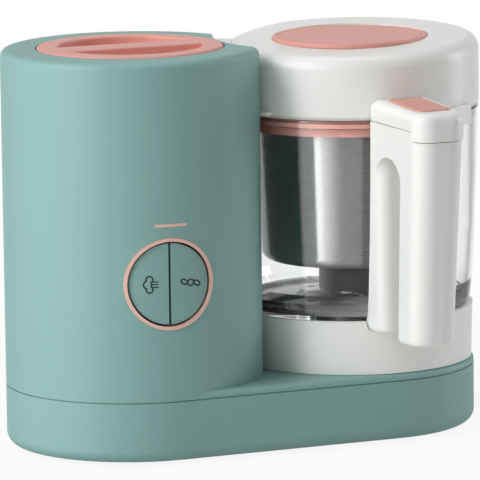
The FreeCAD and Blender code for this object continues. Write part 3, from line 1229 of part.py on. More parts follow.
circle(flute, "spindle_radius + nut_wall + flute_radius / 2", "0", "flute_radius")
around(nut, [pocket(nut, flute, flip=True)], 12)

# Blade
turned("blade_shaft", BOWL, [("0", "dog_top + spin_start"), ("spin_radius", "dog_top + spin_start"),
                             ("spin_radius", "hub_top - shaft_stop"),
                             ("0", "hub_top - shaft_stop")])
coupling = turned("blade_coupling", BOWL, [("0", "deck_height + socket_lift"),
                                           ("dog_across * 0.8", "deck_height + socket_lift"),
                                           ("dog_across * 0.8", "dog_top + socket_top"),
                                           ("0", "dog_top + socket_top")])
pocket(coupling, hexagon(drawing(coupling, "socket", height="deck_height + socket_lift"),
                         "dog_across + 2 * dog_gap"),
       "dog_top + dog_gap - deck_height - socket_lift", flip=True)
pocket(coupling, circle(drawing(coupling, "bore", height="dog_top + spin_start"), "0", "0", "spin_radius"),
       "socket_top",
       flip=True)
hub = turned("blade_hub", BOWL, [("spin_radius", WING_TOP), ("hub_radius", WING_TOP),
                                 ("hub_radius", "hub_top"), ("0", "hub_top"),
                                 ("0", "hub_top - shaft_stop"), ("spin_radius", "hub_top - shaft_stop")])
rounding(hub, "hub_round", ring_edge("hub_radius", "hub_top"))
wings = turned("blade_wings", BOWL, ring_section("spin_radius", "hub_radius - weld_sink", "wing_height",
                                                 WING_TOP))
LOW = less("wing_height", "wing_drop")
LOW_TOP = less(WING_TOP, "wing_drop")
wing = drawing(wings, "wing", "XZ", height="-wing_half")
polygon(wing, [("hub_radius - wing_root", "wing_height"), ("hub_radius + bend_start", "wing_height"),
               ("hub_radius + bend_end", LOW),
               ("wing_reach", LOW), ("wing_reach", LOW_TOP), ("hub_radius + bend_end + fit_gap", LOW_TOP),
               ("hub_radius + bend_start + fit_gap", WING_TOP), ("hub_radius - wing_root", WING_TOP)])
strip = pad(wings, wing, "2 * wing_half")
edges = drawing(wings, "wing_edges", height="wing_height - reach_over")
polygon(edges, [("hub_radius + edge_start", "-edge_out"), ("wing_reach + tip_over", "-edge_out"),
                ("wing_reach + tip_over", "lead_tip"),
                ("hub_radius + edge_middle", "-lead_middle"), ("hub_radius + edge_start", "-lead_root")])
polygon(edges, [("hub_radius + edge_start", "edge_out"), ("wing_reach + tip_over", "edge_out"),
                ("wing_reach + tip_over", "trail_tip"),
                ("hub_radius + edge_middle", "trail_middle"), ("hub_radius + edge_start", "trail_root")])
around(wings, [strip, pocket(wings, edges, "2 * reach_over", flip=True)], 4)

# Steaming basket
RING_SEAT = "ring_low + rim_drop"
turned("steel_basket", BOWL, [
    ("0", "basket_bottom"), ("basket_low_radius", "basket_bottom"),
    ("basket_top_radius", less(RING_SEAT, "basket_sheet")),
    ("basket_top_radius + rim_out", less(RING_SEAT, "basket_sheet")),
    ("basket_top_radius + rim_out", RING_SEAT),
    ("basket_top_radius - basket_sheet", RING_SEAT),
    ("basket_low_radius - basket_sheet", "basket_bottom + basket_sheet"),
    ("0", "basket_bottom + basket_sheet")])
basket = PIECES[-1]
rounding(basket, "basket_round", ring_edge("basket_low_radius", "basket_bottom"))
rounding(basket, "basket_round - basket_sheet", ring_edge("basket_low_radius - basket_sheet",
                                                          "basket_bottom + basket_sheet"))
for count, share in ((1, 0.0), (6, 0.3), (12, 0.58)):
    drain = drawing(basket, f"drain{count}", height="basket_bottom - cut_over")
    circle(drain, f"basket_low_radius * {share}" if share else "0", "0", "drain_radius")
    hole = pocket(basket, drain, "basket_sheet + 2 * cut_over", flip=True)
    if count > 1:
        around(basket, [hole], count)
turned("basket_ring", BOWL, [
    ("ring_skirt - ring_thick", "ring_low"), ("ring_skirt", "ring_low"),
    ("ring_skirt", more(LEDGE, "part_gap")),
    ("jar_radius - jar_wall - fit_gap", more(LEDGE, "part_gap")),
    ("jar_radius - jar_wall - fit_gap", "jar_top - lid_sole"),
    ("ring_skirt + cut_over", "jar_top - ring_thick"), ("ring_skirt + cut_over", "jar_top - fit_gap"),
    ("basket_top_radius + seal_edge", "jar_top - fit_gap"),
    ("basket_top_radius + seal_edge", RING_SEAT), ("ring_skirt - ring_thick", RING_SEAT)])

# Lid
RIM_ACROSS = "sqrt(lid_radius ^ 2 - ramp_start ^ 2) * sin(slant_turn * 1 deg)"
RIM_ALONG = "ramp_start * cos(slant_turn * 1 deg)"
SLANT_AT_RIM = f"lid_slant / (2 * lid_radius) * ({RIM_ACROSS} - {RIM_ALONG})"
RAMP_TOP = f"lid_shoulder + lid_middle + {SLANT_AT_RIM} + ramp_lift"
RAMP_SLOPE = "(ramp_fall / (lid_radius - ramp_start))"
lid = turned("lid_shell", BOWL, [
    ("jar_radius - lid_foot", "lid_edge"), ("lid_radius", "lid_edge"),
    ("lid_radius", "lid_shoulder + 2 * lid_slant"),
    ("lid_hole", "lid_shoulder + 2 * lid_slant"), ("lid_hole", "lid_cap_seat - lid_wall"),
    ("lid_radius - lid_wall", "lid_shoulder - lid_wall"), ("lid_radius - lid_wall", "lid_edge + lid_sole"),
    ("jar_radius - lid_foot", "lid_edge + lid_sole")])
slant = drawing(lid, "slant", "XZ", turn="slant_turn")
polygon(slant, [
    ("-2 * lid_radius", "lid_shoulder + lid_middle - lid_slant"),
    ("2 * lid_radius", "lid_shoulder + lid_middle + lid_slant"),
    ("2 * lid_radius", "lid_shoulder + 4 * lid_slant"),
    ("-2 * lid_radius", "lid_shoulder + 4 * lid_slant")])
pocket(lid, slant, both=True)
ramp = drawing(lid, "ramp", "XZ")
polygon(ramp, [
    ("-ramp_start", RAMP_TOP),
    ("-ramp_start", "lid_shoulder + 4 * lid_slant"), ("-2 * lid_radius", "lid_shoulder + 4 * lid_slant"),
    ("-2 * lid_radius", f"{RAMP_TOP} - {RAMP_SLOPE} * (2 * lid_radius - ramp_start)")])
pocket(lid, ramp, both=True)


def lid_rim(edge):
    """The outer edges of the lid's top."""
    ends = [V(end.X, end.Y, 0).Length for end in edge.Vertexes]
    return edge.BoundBox.ZMin > worth("lid_shoulder - ramp_fall / 2") and all(
        abs(end - worth("lid_radius")) < 0.1 for end in ends)


rounding(lid, "lid_round", lid_rim)
nest = drawing(lid, "cap_nest", height="lid_cap_seat")
pocket(lid, circle(nest, "0", "0", "lid_cap_radius + fit_gap"), "2 * lid_slant", flip=True)


def sector(body, name, corners, start, angle):
    """Adds part of a turn of one outline to a sub-part."""
    sweep(body, polygon(drawing(body, name, "XZ", turn=start), corners), angle=angle)


neck_end = "scoop_radius - neck_gap"
sector(lid, "neck", [
    ("lid_radius - neck_root", "neck_low"), (neck_end, "neck_low"), (neck_end, "neck_high"),
    ("lid_radius - neck_grip", "neck_high"),
    ("lid_radius - neck_grip", "lid_shoulder - lid_wall + cut_over"),
    ("lid_radius - neck_root", "lid_shoulder - 2 * lid_wall")],
    "180 - neck_back", "neck_back + neck_front")
rounding(lid, "neck_round", ring_edge(neck_end, "neck_high"))
sector(lid, "tab", ring_section("lid_radius - neck_root", neck_end, "lid_edge", "lid_edge + tab_height"),
       "180 - tab_turn / 2", "tab_turn")
sector(lid, "lug", [("lid_radius + slip", "lug_low"), ("lid_radius + lug_thick", "lug_low"),
                    ("lid_radius + lug_thick", "lid_edge + lug_height"),
                    ("lid_radius - cut_over", "lid_edge + lug_height"),
                    ("lid_radius - cut_over", "lid_edge + lug_skim"),
                    ("lid_radius + slip", "lid_edge + lug_skim")], "-90 + lug_from", "lug_turn")
duct = drawing(lid, "duct", "YZ", height="-lid_radius + duct_in")
pocket(lid, circle(duct, "0", "port_height", "port_radius + 1"), "30")
turned("lid_liner", BOWL, ring_section("lid_hole + liner_in", "lid_radius - lid_wall - fit_gap",
                                       "lid_edge + lid_sole",
                                       "lid_edge + lid_sole + liner_plate"))
liner = PIECES[-1]
vent = drawing(liner, "vent", height="lid_edge")
circle(vent, "(lid_hole + lid_radius) / 2", "0", "liner_vent")
around(liner, [pocket(liner, vent, "duct_in", flip=True)], 8)
turned("lid_seal", BOWL, ring_section("jar_radius - lid_foot + fit_gap", "jar_radius - seal_edge",
                                      more("jar_top", "part_gap"),
                                      "lid_edge"))
lid_cap = turned("lid_cap", BOWL, [
    ("lid_hole - liner_in", "lid_cap_seat - lid_plug"), ("lid_hole - seal_edge", "lid_cap_seat - lid_plug"),
    ("lid_hole - seal_edge", "lid_cap_seat - groove_low"),
    ("lid_hole - groove_in", "lid_cap_seat - groove_low"),
    ("lid_hole - groove_in", "lid_cap_seat - groove_high"),
    ("lid_hole - seal_edge", "lid_cap_seat - groove_high"),
    ("lid_hole - seal_edge", "lid_cap_seat + part_gap"),
    ("lid_cap_radius", "lid_cap_seat + part_gap"), ("lid_cap_radius", "lid_cap_top"), ("0", "lid_cap_top"),
    ("0", "lid_cap_seat"), ("lid_hole - liner_in", "lid_cap_seat")])
rounding(lid_cap, "lip_round", ring_edge("lid_cap_radius", "lid_cap_top"))
sweep(lid_cap, polygon(drawing(lid_cap, "line", "XZ"), [
    ("cap_line - line_depth", "lid_cap_top + slip"), ("cap_line", "lid_cap_top - line_depth"),
    ("cap_line + line_depth", "lid_cap_top + slip")]), cut=True)
turned("lid_cap_seal", BOWL, ring_section("lid_hole - groove_in", "lid_hole - part_gap",
                                          "lid_cap_seat - groove_low + slip",
                                          "lid_cap_seat - groove_high - slip"))

# Handle with its cap and latch
handle = piece("handle", BOWL)
GLASS_CUT = [(more(radius, "glue_gap"), height) for radius, height in JAR_SIDE]


def handle_plan(body, name, height, reach, half):
    """The handle's outline in plan: widest at the glass, with two round outer corners."""
    sheet = drawing(body, name, height=height)
    corner_x, corner_y = less(half, "grip_corner"), less("grip_corner", reach)
    centre = V(worth(corner_x), worth(corner_y), 0)
    root = V(worth("column_half"), -worth("handle_root"), 0)
    radius = worth("grip_corner")
    to_root = root - centre
    lean = atan2(to_root.y, to_root.x) - acos(radius / to_root.Length)
    right_curve = Part.Circle(centre, V(0, 0, 1), radius)
    left_curve = Part.Circle(V(-centre.x, centre.y, 0), V(0, 0, 1), radius)
    right = sheet.addGeometry(Part.ArcOfCircle(right_curve, -pi / 2, lean))
    left = sheet.addGeometry(Part.ArcOfCircle(left_curve, pi - lean, 1.5 * pi))
    ends = [sheet.getPoint(right, 2), root, V(-root.x, root.y, 0), sheet.getPoint(left, 1)]
    flank, back, other = [sheet.addGeometry(Part.LineSegment(*pair)) for pair in zip(ends, ends[1:])]
    front = sheet.addGeometry(Part.LineSegment(sheet.getPoint(left, 2), sheet.getPoint(right, 1)))
    meet(sheet, flank, 2, back, 1)
    meet(sheet, back, 2, other, 1)
    for line, end, bow, bow_end in ((flank, 1, right, 2), (other, 2, left, 1), (front, 1, left, 2),
                                    (front, 2, right, 1)):
        sheet.addConstraint(Sketcher.Constraint("Tangent", line, end, bow, bow_end))
    for bow, side in ((right, ""), (left, "-")):
        size_arc(sheet, bow, "grip_corner")
        pin(sheet, bow, 3, f"{side}({corner_x})", corner_y)
    pin(sheet, back, 1, "column_half", "-handle_root")
    pin(sheet, back, 2, "-column_half", "-handle_root")
    return sheet


def gap_plan(name, height, far):
    """The finger gap's outline in plan, past both flanks."""
    wide = "column_half + grip_corner"
    return polygon(drawing(handle, name, height=height), [
        (f"-({wide})", "-column_far"), (f"-({wide})", f"-({far})"), (wide, f"-({far})"),
        (wide, "-column_far")])


def column_corner(edge):
    """The two upright edges of the column that face the fingers."""
    return edge.BoundBox.ZLength > 20 and abs(edge.CenterOfMass.y + worth("column_far")) < 0.5


def inner_corner(edge):
    """The two upright edges of the grip that face the fingers."""
    middle = worth("grip_near - gap_lean / 2")
    return edge.BoundBox.ZLength > 20 and abs(edge.CenterOfMass.y + middle) < worth("gap_lean") / 2


def arch_edge(edge):
    """The two inner edges of the finger gap's top."""
    return level_edge("arch_top")(edge) and abs(edge.CenterOfMass.x) < 1


loft(handle, handle_plan(handle, "low_plan", "grip_low", "handle_reach - cap_lip - grip_lean",
                         "grip_half - cap_lip - grip_taper"),
     handle_plan(handle, "top_plan", "handle_seam", "handle_reach - cap_lip", "grip_half - cap_lip"))
loft(handle, gap_plan("gap_low", "grip_low - cut_over", "grip_near - gap_lean"),
     gap_plan("gap_top", "arch_top", "grip_near"), cut=True)
gap_middle = "-(grip_near + column_far) / 2"
below = drawing(handle, "below", "YZ")
polygon(below, [(gap_middle, "0"), ("0", "0"), ("0", "column_low"), (gap_middle, "column_low")])
pocket(handle, below, both=True)
rebate = drawing(handle, "rebate", "YZ")
polygon(rebate, [("-handle_reach - rebate_over", "skirt_low"), ("-skirt_from", "skirt_low"),
                 ("-skirt_from", "handle_seam + rebate_over"),
                 ("-handle_reach - rebate_over", "handle_seam + rebate_over")])
pocket(handle, rebate, both=True)
rounding(handle, "column_round", column_corner)
rounding(handle, "gap_edge", inner_corner)
# The arch can't be wider than the gap, whose far side leans
gap_slope = "atan(gap_lean / (arch_top - grip_low))"
arch_limit = f"arch_share * finger_space / (1 + tan(45 deg + {gap_slope} / 2))"
rounding(handle, f"min(arch_round ; {arch_limit})", arch_edge)
rounding(handle, "grip_end", level_edge("grip_low"))
rounding(handle, "column_end", level_edge("column_low"))
sweep(handle, polygon(drawing(handle, "glass", "XZ"),
                      [("0", "column_low - 20"), (GLASS_CUT[0][0], "column_low - 20")]
                      + GLASS_CUT[1:] + [(GLASS_CUT[-1][0], "handle_seam + trim_far"),
                                         ("0", "handle_seam + trim_far")]), cut=True)
well = drawing(handle, "well", height="handle_seam")
soft_box(well, "-cap_core", "cap_core", "-skirt_from + hollow_wall", "-column_far - hollow_corner",
         "hollow_corner")
pocket(handle, well, "handle_seam - arch_top - hollow_floor")
core = drawing(handle, "core", height="handle_seam")
soft_box(core, "-grip_core", "grip_core", "-handle_reach + grip_lean + core_wall",
         "-grip_near - hollow_corner",
         "hollow_corner / 2")
pocket(handle, core, "handle_seam - grip_low - hollow_floor")
handle_cap = piece("handle_cap", BOWL)
pad(handle_cap, handle_plan(handle_cap, "plan", "skirt_low + cap_reveal", "handle_reach", "grip_half"),
    "handle_near_top - skirt_low + hollow_corner")
SLOPE = "(handle_near_top - handle_far_top) / (pad_far - pad_near)"


def slope_at(distance, rise="0"):
    return f"handle_near_top + ({rise}) - ({SLOPE}) * (({distance}) - pad_near)"


off_top = drawing(handle_cap, "top", "YZ")
polygon(off_top, [("-slope_from", slope_at("slope_from")),
                  ("-handle_reach - reach_over", slope_at("handle_reach + reach_over")),
                  ("-handle_reach - reach_over", "handle_near_top + trim_far"),
                  ("-slope_from", "handle_near_top + trim_far")])
pocket(handle_cap, off_top, both=True)
off_low = drawing(handle_cap, "under", "YZ")
polygon(off_low, [("-slope_from", "skirt_low - core_wall"),
                  ("-skirt_from - cap_reveal", "skirt_low - core_wall"),
                  ("-skirt_from - cap_reveal", "handle_seam + cap_reveal"),
                  ("-slope_from", "handle_seam + cap_reveal")])
pocket(handle_cap, off_low, both=True)


def cap_top_edge(edge):
    """The upper edges of the handle cap's flanks and front."""
    spot = edge.CenterOfMass
    limit = worth(slope_at("handle_reach")) - 0.6
    return spot.z > limit and spot.y < -71 and edge.BoundBox.ZMin > limit - 0.6


rounding(handle_cap, "crown_round", cap_top_edge)
seat = drawing(handle_cap, "seat", height="handle_seam")
soft_box(seat, "-grip_half + seam_seat", "grip_half - seam_seat", "-skirt_from", "-lid_radius",
         "hollow_corner / 2")
pad(handle_cap, seat, "cap_reveal + weld_sink")
sweep(handle_cap, polygon(drawing(handle_cap, "lid_side", "XZ"), [
    ("0", "skirt_low - reach_over"), ("lid_radius + lid_play", "skirt_low - reach_over"),
    ("lid_radius + lid_play", "handle_near_top + trim_far"),
    ("0", "handle_near_top + trim_far")]), cut=True)
nest = drawing(handle_cap, "pad_nest", height="handle_near_top + reach_over")
soft_box(nest, "-pad_half - pad_play", "pad_half + pad_play", "-pad_far - pad_play", "-pad_near + pad_play",
         "pad_corner + pad_play")
pocket(handle_cap, nest, "handle_near_top + 10 - pad_floor")
hollow = drawing(handle_cap, "hollow", height="handle_seam")
soft_box(hollow, "-cap_core", "cap_core", "-skirt_from + hollow_corner / 2",
         "-column_far - hollow_corner / 2",
         "hollow_corner")
pocket(handle_cap, hollow, "pad_roof - handle_seam", flip=True)
pocket(handle_cap, circle(drawing(handle_cap, "stem_hole", height="pad_floor + cut_over"), "0",
                          "-latch_out",
                          "latch_stem + fit_gap"),
       "pad_floor - handle_seam + 2 * cut_over")
latch = piece("latch_pad", BOWL)
pad(latch, soft_box(drawing(latch, "plan", height="pad_base"), "-pad_half", "pad_half", "-pad_far",
                    "-pad_near", "pad_corner"),
    "handle_near_top - pad_base + past_face")
shave = drawing(latch, "top", "YZ")
polygon(shave, [("-slope_from", slope_at("slope_from", "pad_proud")),
                ("-handle_reach - reach_over", slope_at("handle_reach + reach_over", "pad_proud")),
                ("-handle_reach - reach_over", "handle_near_top + trim_far"),
                ("-slope_from", "handle_near_top + trim_far")])
pocket(latch, shave, both=True)


def pad_edge(edge):
    """The edges round the top of the latch pad."""
    box = edge.BoundBox
    high = edge.CenterOfMass.z > worth("handle_far_top") and box.ZMin > worth("pad_base") + 0.5
    return high and box.ZLength < 4


rounding(latch, "pad_round", pad_edge)
pad(latch, circle(drawing(latch, "stem", height="pad_base + 0.5"), "0", "-latch_out", "latch_stem"),
    "pad_base - handle_seam + stem_below", flip=True)
spring = piece("latch_spring", (BOWL_X, f"{AXIS_Y} - latch_out", "foot_height + pad_floor + spring_wire"))
wire = circle(drawing(spring, "wire", "XZ"), "latch_stem + spring_play", "0", "spring_wire")
coil = feature("AdditiveHelix", spring, wire, "coil")
coil.ReferenceAxis = (wire, ["V_Axis"])
coil.Mode = 0
tie(coil, "Pitch", "(pad_base - pad_floor - 2 * spring_wire) / spring_turns")
tie(coil, "Height", "pad_base - pad_floor - 2 * spring_wire")
doc.recompute()

doc.recompute()
for item in doc.Objects:
    if "Invalid" in item.State or "Error" in item.State:
        raise RuntimeError(f"{item.Name}: {item.State}")
os.makedirs("parts", exist_ok=True)
for body in PIECES:
    if not body.Shape.isValid() or body.Shape.Volume <= 0:
        raise RuntimeError(f"{body.Label} is not a sound solid")
    body.Shape.exportStep(f"parts/{body.Label}.step")
print(len(PIECES), "pieces")
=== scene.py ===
# %% [markdown]
# A baby food maker: a green tower that boils water, and beside it a glass jar in which food is steamed in a
# steel basket and then blended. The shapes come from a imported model, in metres, with +Z up and the origin on
# the table under the middle of the machine. This lesson dresses them: camera, light, finishes, the signs that
# are printed on the buttons, and the spring under the thumb pad.

# %% Load the frame
import json
from math import cos, radians, sin

import bpy
from mathutils import Matrix, Vector


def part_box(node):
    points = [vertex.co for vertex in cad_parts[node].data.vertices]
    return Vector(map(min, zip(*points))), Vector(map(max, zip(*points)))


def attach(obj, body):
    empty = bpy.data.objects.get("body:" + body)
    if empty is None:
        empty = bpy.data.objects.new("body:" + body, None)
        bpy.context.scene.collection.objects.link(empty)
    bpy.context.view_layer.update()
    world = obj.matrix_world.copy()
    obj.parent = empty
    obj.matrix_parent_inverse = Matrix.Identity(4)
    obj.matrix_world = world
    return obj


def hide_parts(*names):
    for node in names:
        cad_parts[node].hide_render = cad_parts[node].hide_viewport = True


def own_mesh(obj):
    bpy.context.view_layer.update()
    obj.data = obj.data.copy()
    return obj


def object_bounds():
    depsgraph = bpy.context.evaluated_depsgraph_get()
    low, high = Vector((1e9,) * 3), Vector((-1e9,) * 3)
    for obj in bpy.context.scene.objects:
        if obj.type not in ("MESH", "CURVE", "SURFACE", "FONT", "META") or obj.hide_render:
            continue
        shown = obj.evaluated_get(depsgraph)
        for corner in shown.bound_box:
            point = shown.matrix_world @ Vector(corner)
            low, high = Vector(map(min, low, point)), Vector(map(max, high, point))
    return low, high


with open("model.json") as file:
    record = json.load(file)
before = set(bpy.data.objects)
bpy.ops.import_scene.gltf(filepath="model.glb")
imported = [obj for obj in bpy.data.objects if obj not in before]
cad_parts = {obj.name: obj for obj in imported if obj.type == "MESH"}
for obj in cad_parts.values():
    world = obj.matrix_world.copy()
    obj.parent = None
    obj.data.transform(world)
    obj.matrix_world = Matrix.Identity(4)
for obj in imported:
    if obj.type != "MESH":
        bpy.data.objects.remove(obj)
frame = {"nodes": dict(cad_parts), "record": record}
nodes = frame["nodes"]
cad_low, cad_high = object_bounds()
MM = 0.001
print("pieces in the frame:", len(nodes), "size:", [round(x, 4) for x in cad_high - cad_low])

# %% [markdown]
# Places that many cells need are read from the frame once: the upright axis of the tower and the upright axis
# of the jar. They could be typed in as numbers, but then they would be wrong as soon as the model is packed
# again. The middle of a round piece's box lies on its axis, so it is read from there.


# %% Axes of the two round halves
def middle(piece_name):
    low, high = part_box(piece_name)
    return (low + high) / 2


tower_axis = middle("tank_cap")
jar_axis = middle("steel_basket")
print("tower axis:", tower_axis.xy, "jar axis:", jar_axis.xy)

# %% [markdown]
# The camera stands far away with a long lens, as product photographers do, so that upright edges stay nearly
# parallel. It could be turned with a constraint that tracks a target, but a constraint leaves no room for the
# small roll of a hand-held shot. So the three directions of the camera are worked out from an azimuth, an
# elevation and a roll, and written into its matrix.

# %% Camera
CAMERA_AIM = Vector((tower_axis.x + 0.075, tower_axis.y, 0.127))
CAMERA_DISTANCE = 3.5684
CAMERA_AZIMUTH = radians(-21.759)
CAMERA_ELEVATION = radians(9.354)
CAMERA_ROLL = radians(-0.723)
CAMERA_LENS = 414.3
CAMERA_SHIFT = (-0.0036, -0.0023)
CAMERA_REACH = 100

back = Vector((
    sin(CAMERA_AZIMUTH) * cos(CAMERA_ELEVATION),
    -cos(CAMERA_AZIMUTH) * cos(CAMERA_ELEVATION),
    sin(CAMERA_ELEVATION),
))
level = Vector((cos(CAMERA_AZIMUTH), sin(CAMERA_AZIMUTH), 0))
upright = back.cross(level)
right = cos(CAMERA_ROLL) * level + sin(CAMERA_ROLL) * upright
up = cos(CAMERA_ROLL) * upright - sin(CAMERA_ROLL) * level
turned = Matrix((right, up, back)).transposed().to_4x4()
lens = bpy.data.cameras.new("camera")
lens.lens = CAMERA_LENS
lens.shift_x, lens.shift_y = CAMERA_SHIFT
lens.clip_end = CAMERA_REACH
camera = bpy.data.objects.new("camera", lens)
camera.matrix_world = Matrix.Translation(CAMERA_AIM + back * CAMERA_DISTANCE) @ turned
bpy.context.scene.collection.objects.link(camera)
bpy.context.scene.camera = camera
bpy.context.scene.view_settings.view_transform = "Standard"
print("camera at", [round(x, 3) for x in camera.location])

# %% [markdown]
# The picture is lit like a catalogue shot. A large soft lamp stands at the left, almost beside the machine,
# so its light runs out about half way round each drum. One in front of it lifts the white pieces, and is
# hidden from shiny surfaces, so it draws no second line on the steel. A weak lamp on the right draws the far
# edge out of the shade, and one above lights the tops. Spots or a sun would do for the brightness, but only
# area lamps give the wide, soft edge between light and shade that satin plastic shows.

# %% Lamps
LAMPS = [
    # name, place, target, width and height, watts, shows in shiny surfaces
    ("key", (-1.85, -0.4, 1.05), (0, 0, 0.12), (0.8, 1.8), 24, True),
    ("front", (-1.66, -0.7, 0.85), (0, 0, 0.12), (0.6, 1.6), 9, False),
    ("fill", (1.7, -0.1, 0.5), (0, 0, 0.12), (0.5, 1.0), 8.5, True),
    ("top", (0.1, 0.2, 1.6), (0, 0, 0.2), (1.0, 1.0), 5.5, True),
]
for name, place, target, (width, height), watts, mirrors in LAMPS:
    lamp = bpy.data.lights.new(name, "AREA")
    lamp.shape = "RECTANGLE"
    lamp.size = width
    lamp.size_y = height
    lamp.energy = watts
    stand = bpy.data.objects.new(name, lamp)
    stand.location = place
    stand.visible_glossy = mirrors
    stand.rotation_euler = (Vector(place) - Vector(target)).to_track_quat("Z", "Y").to_euler()
    bpy.context.scene.collection.objects.link(stand)
print("lamps:", [lamp[0] for lamp in LAMPS])

# %% [markdown]
# The room round the machine is a world with nodes, and so are the floor and every finish. Three small tools
# keep those cells short: one adds a node and sets what is named, one links two sockets, and one places a
# maths node between two values. The same nodes could be added by hand in the shader editor, one by one.


# %% An empty room
def node(tree, kind, values=None, **settings):
    """A new node with its settings, and with the values of its free inputs by name."""
    made = tree.nodes.new(kind)
    for key, value in settings.items():
        setattr(made, key, value)
    for label, value in (values or {}).items():
        made.inputs[label].default_value = value
    return made


def wire(tree, source, target):
    tree.links.new(source, target)


def maths(tree, operation, first, second):
    """A maths node fed by sockets or plain numbers, as its output socket."""
    made = node(tree, "ShaderNodeMath", operation=operation)
    for value, socket in ((first, made.inputs[0]), (second, made.inputs[1])):
        if isinstance(value, (int, float)):
            socket.default_value = value
        else:
            wire(tree, value, socket)
    return made.outputs["Value"]


room = bpy.data.worlds.new("room")
room.use_nodes = True
bpy.context.scene.world = room
tree = room.node_tree
print("room starts with:", [part.name for part in tree.nodes])

# %% [markdown]
# Steel and glass show the room more than they show a lamp, so the room has to be worth showing. It is a small
# studio: white paper behind the machine, a bright wall at the left that fades towards the front, and a dim
# front where the photographer stands. Real cards round the machine would do the same, but they would also
# stand in the way when the machine is looked at from another side. So the studio is painted on the world, by
# how far a ray turns towards the paper or the wall.

# %% Studio that shiny surfaces see
STUDIO_FRONT = 0.5
PAPER_TURN = (0.86, 0.985)
WALL_AZIMUTH = radians(-92)
WALL_RISE = 0.1
WALL_TURN = (0.46, 0.97)
WALL_LIGHT = 1.8


def facing(tree, direction, turn):
    """Rises from nought to one as a ray turns towards a direction."""
    ray = node(tree, "ShaderNodeTexCoord")
    likeness = node(tree, "ShaderNodeVectorMath", operation="DOT_PRODUCT")
    likeness.inputs[1].default_value = direction
    wire(tree, ray.outputs["Generated"], likeness.inputs[0])
    start, full = turn
    rise = node(
        tree, "ShaderNodeMapRange", {"From Min": start, "From Max": full},
        interpolation_type="SMOOTHSTEP",
    )
    wire(tree, likeness.outputs["Value"], rise.inputs["Value"])
    return rise.outputs["Result"]


wall_way = (sin(WALL_AZIMUTH), -cos(WALL_AZIMUTH), WALL_RISE)
paper = maths(tree, "MULTIPLY", facing(tree, -back, PAPER_TURN), 1 - STUDIO_FRONT)
wall = maths(tree, "MULTIPLY", facing(tree, wall_way, WALL_TURN), WALL_LIGHT)
studio = maths(tree, "ADD", maths(tree, "ADD", paper, wall), STUDIO_FRONT)
print("wall lies towards", [round(x, 2) for x in wall_way])

# %% [markdown]
# A Light Path node tells what kind of ray asks for a colour. The camera itself sees plain white. A ray that
# comes off a shiny surface or out of glass sees the studio. All other light only takes an even grey from the
# room, so the white background never makes the machine brighter.

# %% What each kind of ray sees
ROOM_LIGHT = (0.25, 0.255, 0.255, 1)
PLAIN_WHITE = (1, 1, 1, 1)


def mixed(tree, share, first, second):
    """A colour between two others, which are colours or sockets."""
    made = node(tree, "ShaderNodeMix", data_type="RGBA")
    wire(tree, share, made.inputs["Factor"])
    for value, label in ((first, "A"), (second, "B")):
        if isinstance(value, tuple):
            made.inputs[label].default_value = value
        else:
            wire(tree, value, made.inputs[label])
    return made.outputs["Result"]


path = node(tree, "ShaderNodeLightPath").outputs
shiny = maths(tree, "MAXIMUM", path["Is Glossy Ray"], path["Is Transmission Ray"])
unseen = mixed(tree, shiny, ROOM_LIGHT, studio)
seen = mixed(tree, path["Is Camera Ray"], unseen, PLAIN_WHITE)
wire(tree, seen, tree.nodes["Background"].inputs["Color"])
print("room nodes:", len(tree.nodes))

# %% [markdown]
# The floor is a pale sheet that only shows the machine's soft shadow. A shadow catcher would need a second
# picture to lay it on, so the sheet is mixed instead: to the camera nine tenths of it glow white and the last
# tenth takes the light, which leaves the shadow faint. Further out it glows all over, so no horizon crosses
# the picture. Shiny surfaces look through it into the studio, because a glowing floor would fill the lower
# half of every reflection.

# %% Floor
FLOOR_SIZE = 8
FLOOR_FADE = (0.25, 0.9)
FLOOR_GLOW = 0.9
FLOOR_COLOUR = (0.82, 0.82, 0.81, 1)
FLOOR_ROUGHNESS = 0.9


def either(tree, share, first, second):
    """A shader between two others, as its output socket."""
    made = node(tree, "ShaderNodeMixShader")
    wire(tree, share, made.inputs["Fac"])
    wire(tree, first, made.inputs[1])
    wire(tree, second, made.inputs[2])
    return made.outputs["Shader"]


bpy.ops.object.select_all(action="DESELECT")
bpy.ops.mesh.primitive_plane_add(size=FLOOR_SIZE, location=(0, 0, cad_low.z))
floor = bpy.context.object
floor.name = "floor"
bpy.ops.object.transform_apply(location=True, rotation=True, scale=True)
paint = bpy.data.materials.new("pale_floor")
paint.use_nodes = True
tree = paint.node_tree
matt = tree.nodes["Principled BSDF"]
matt.inputs["Base Color"].default_value = FLOOR_COLOUR
matt.inputs["Roughness"].default_value = FLOOR_ROUGHNESS
where = node(tree, "ShaderNodeTexCoord")
reach = node(tree, "ShaderNodeVectorMath", operation="LENGTH")
wire(tree, where.outputs["Object"], reach.inputs[0])
near, far = FLOOR_FADE
fade = node(tree, "ShaderNodeMapRange", {"From Min": near, "From Max": far, "To Min": FLOOR_GLOW})
wire(tree, reach.outputs["Value"], fade.inputs["Value"])
path = node(tree, "ShaderNodeLightPath").outputs
shown = maths(tree, "MAXIMUM", path["Is Camera Ray"], path["Is Transmission Ray"])
glow = node(tree, "ShaderNodeEmission")
clear = node(tree, "ShaderNodeBsdfTransparent")
glow_share = maths(tree, "MULTIPLY", fade.outputs["Result"], shown)
lit = either(tree, glow_share, matt.outputs["BSDF"], glow.outputs["Emission"])
sheet = either(tree, path["Is Glossy Ray"], lit, clear.outputs["BSDF"])
wire(tree, sheet, tree.nodes["Material Output"].inputs["Surface"])
floor.data.materials.append(paint)
print("floor at height", round(cad_low.z, 4), "nodes:", len(tree.nodes))

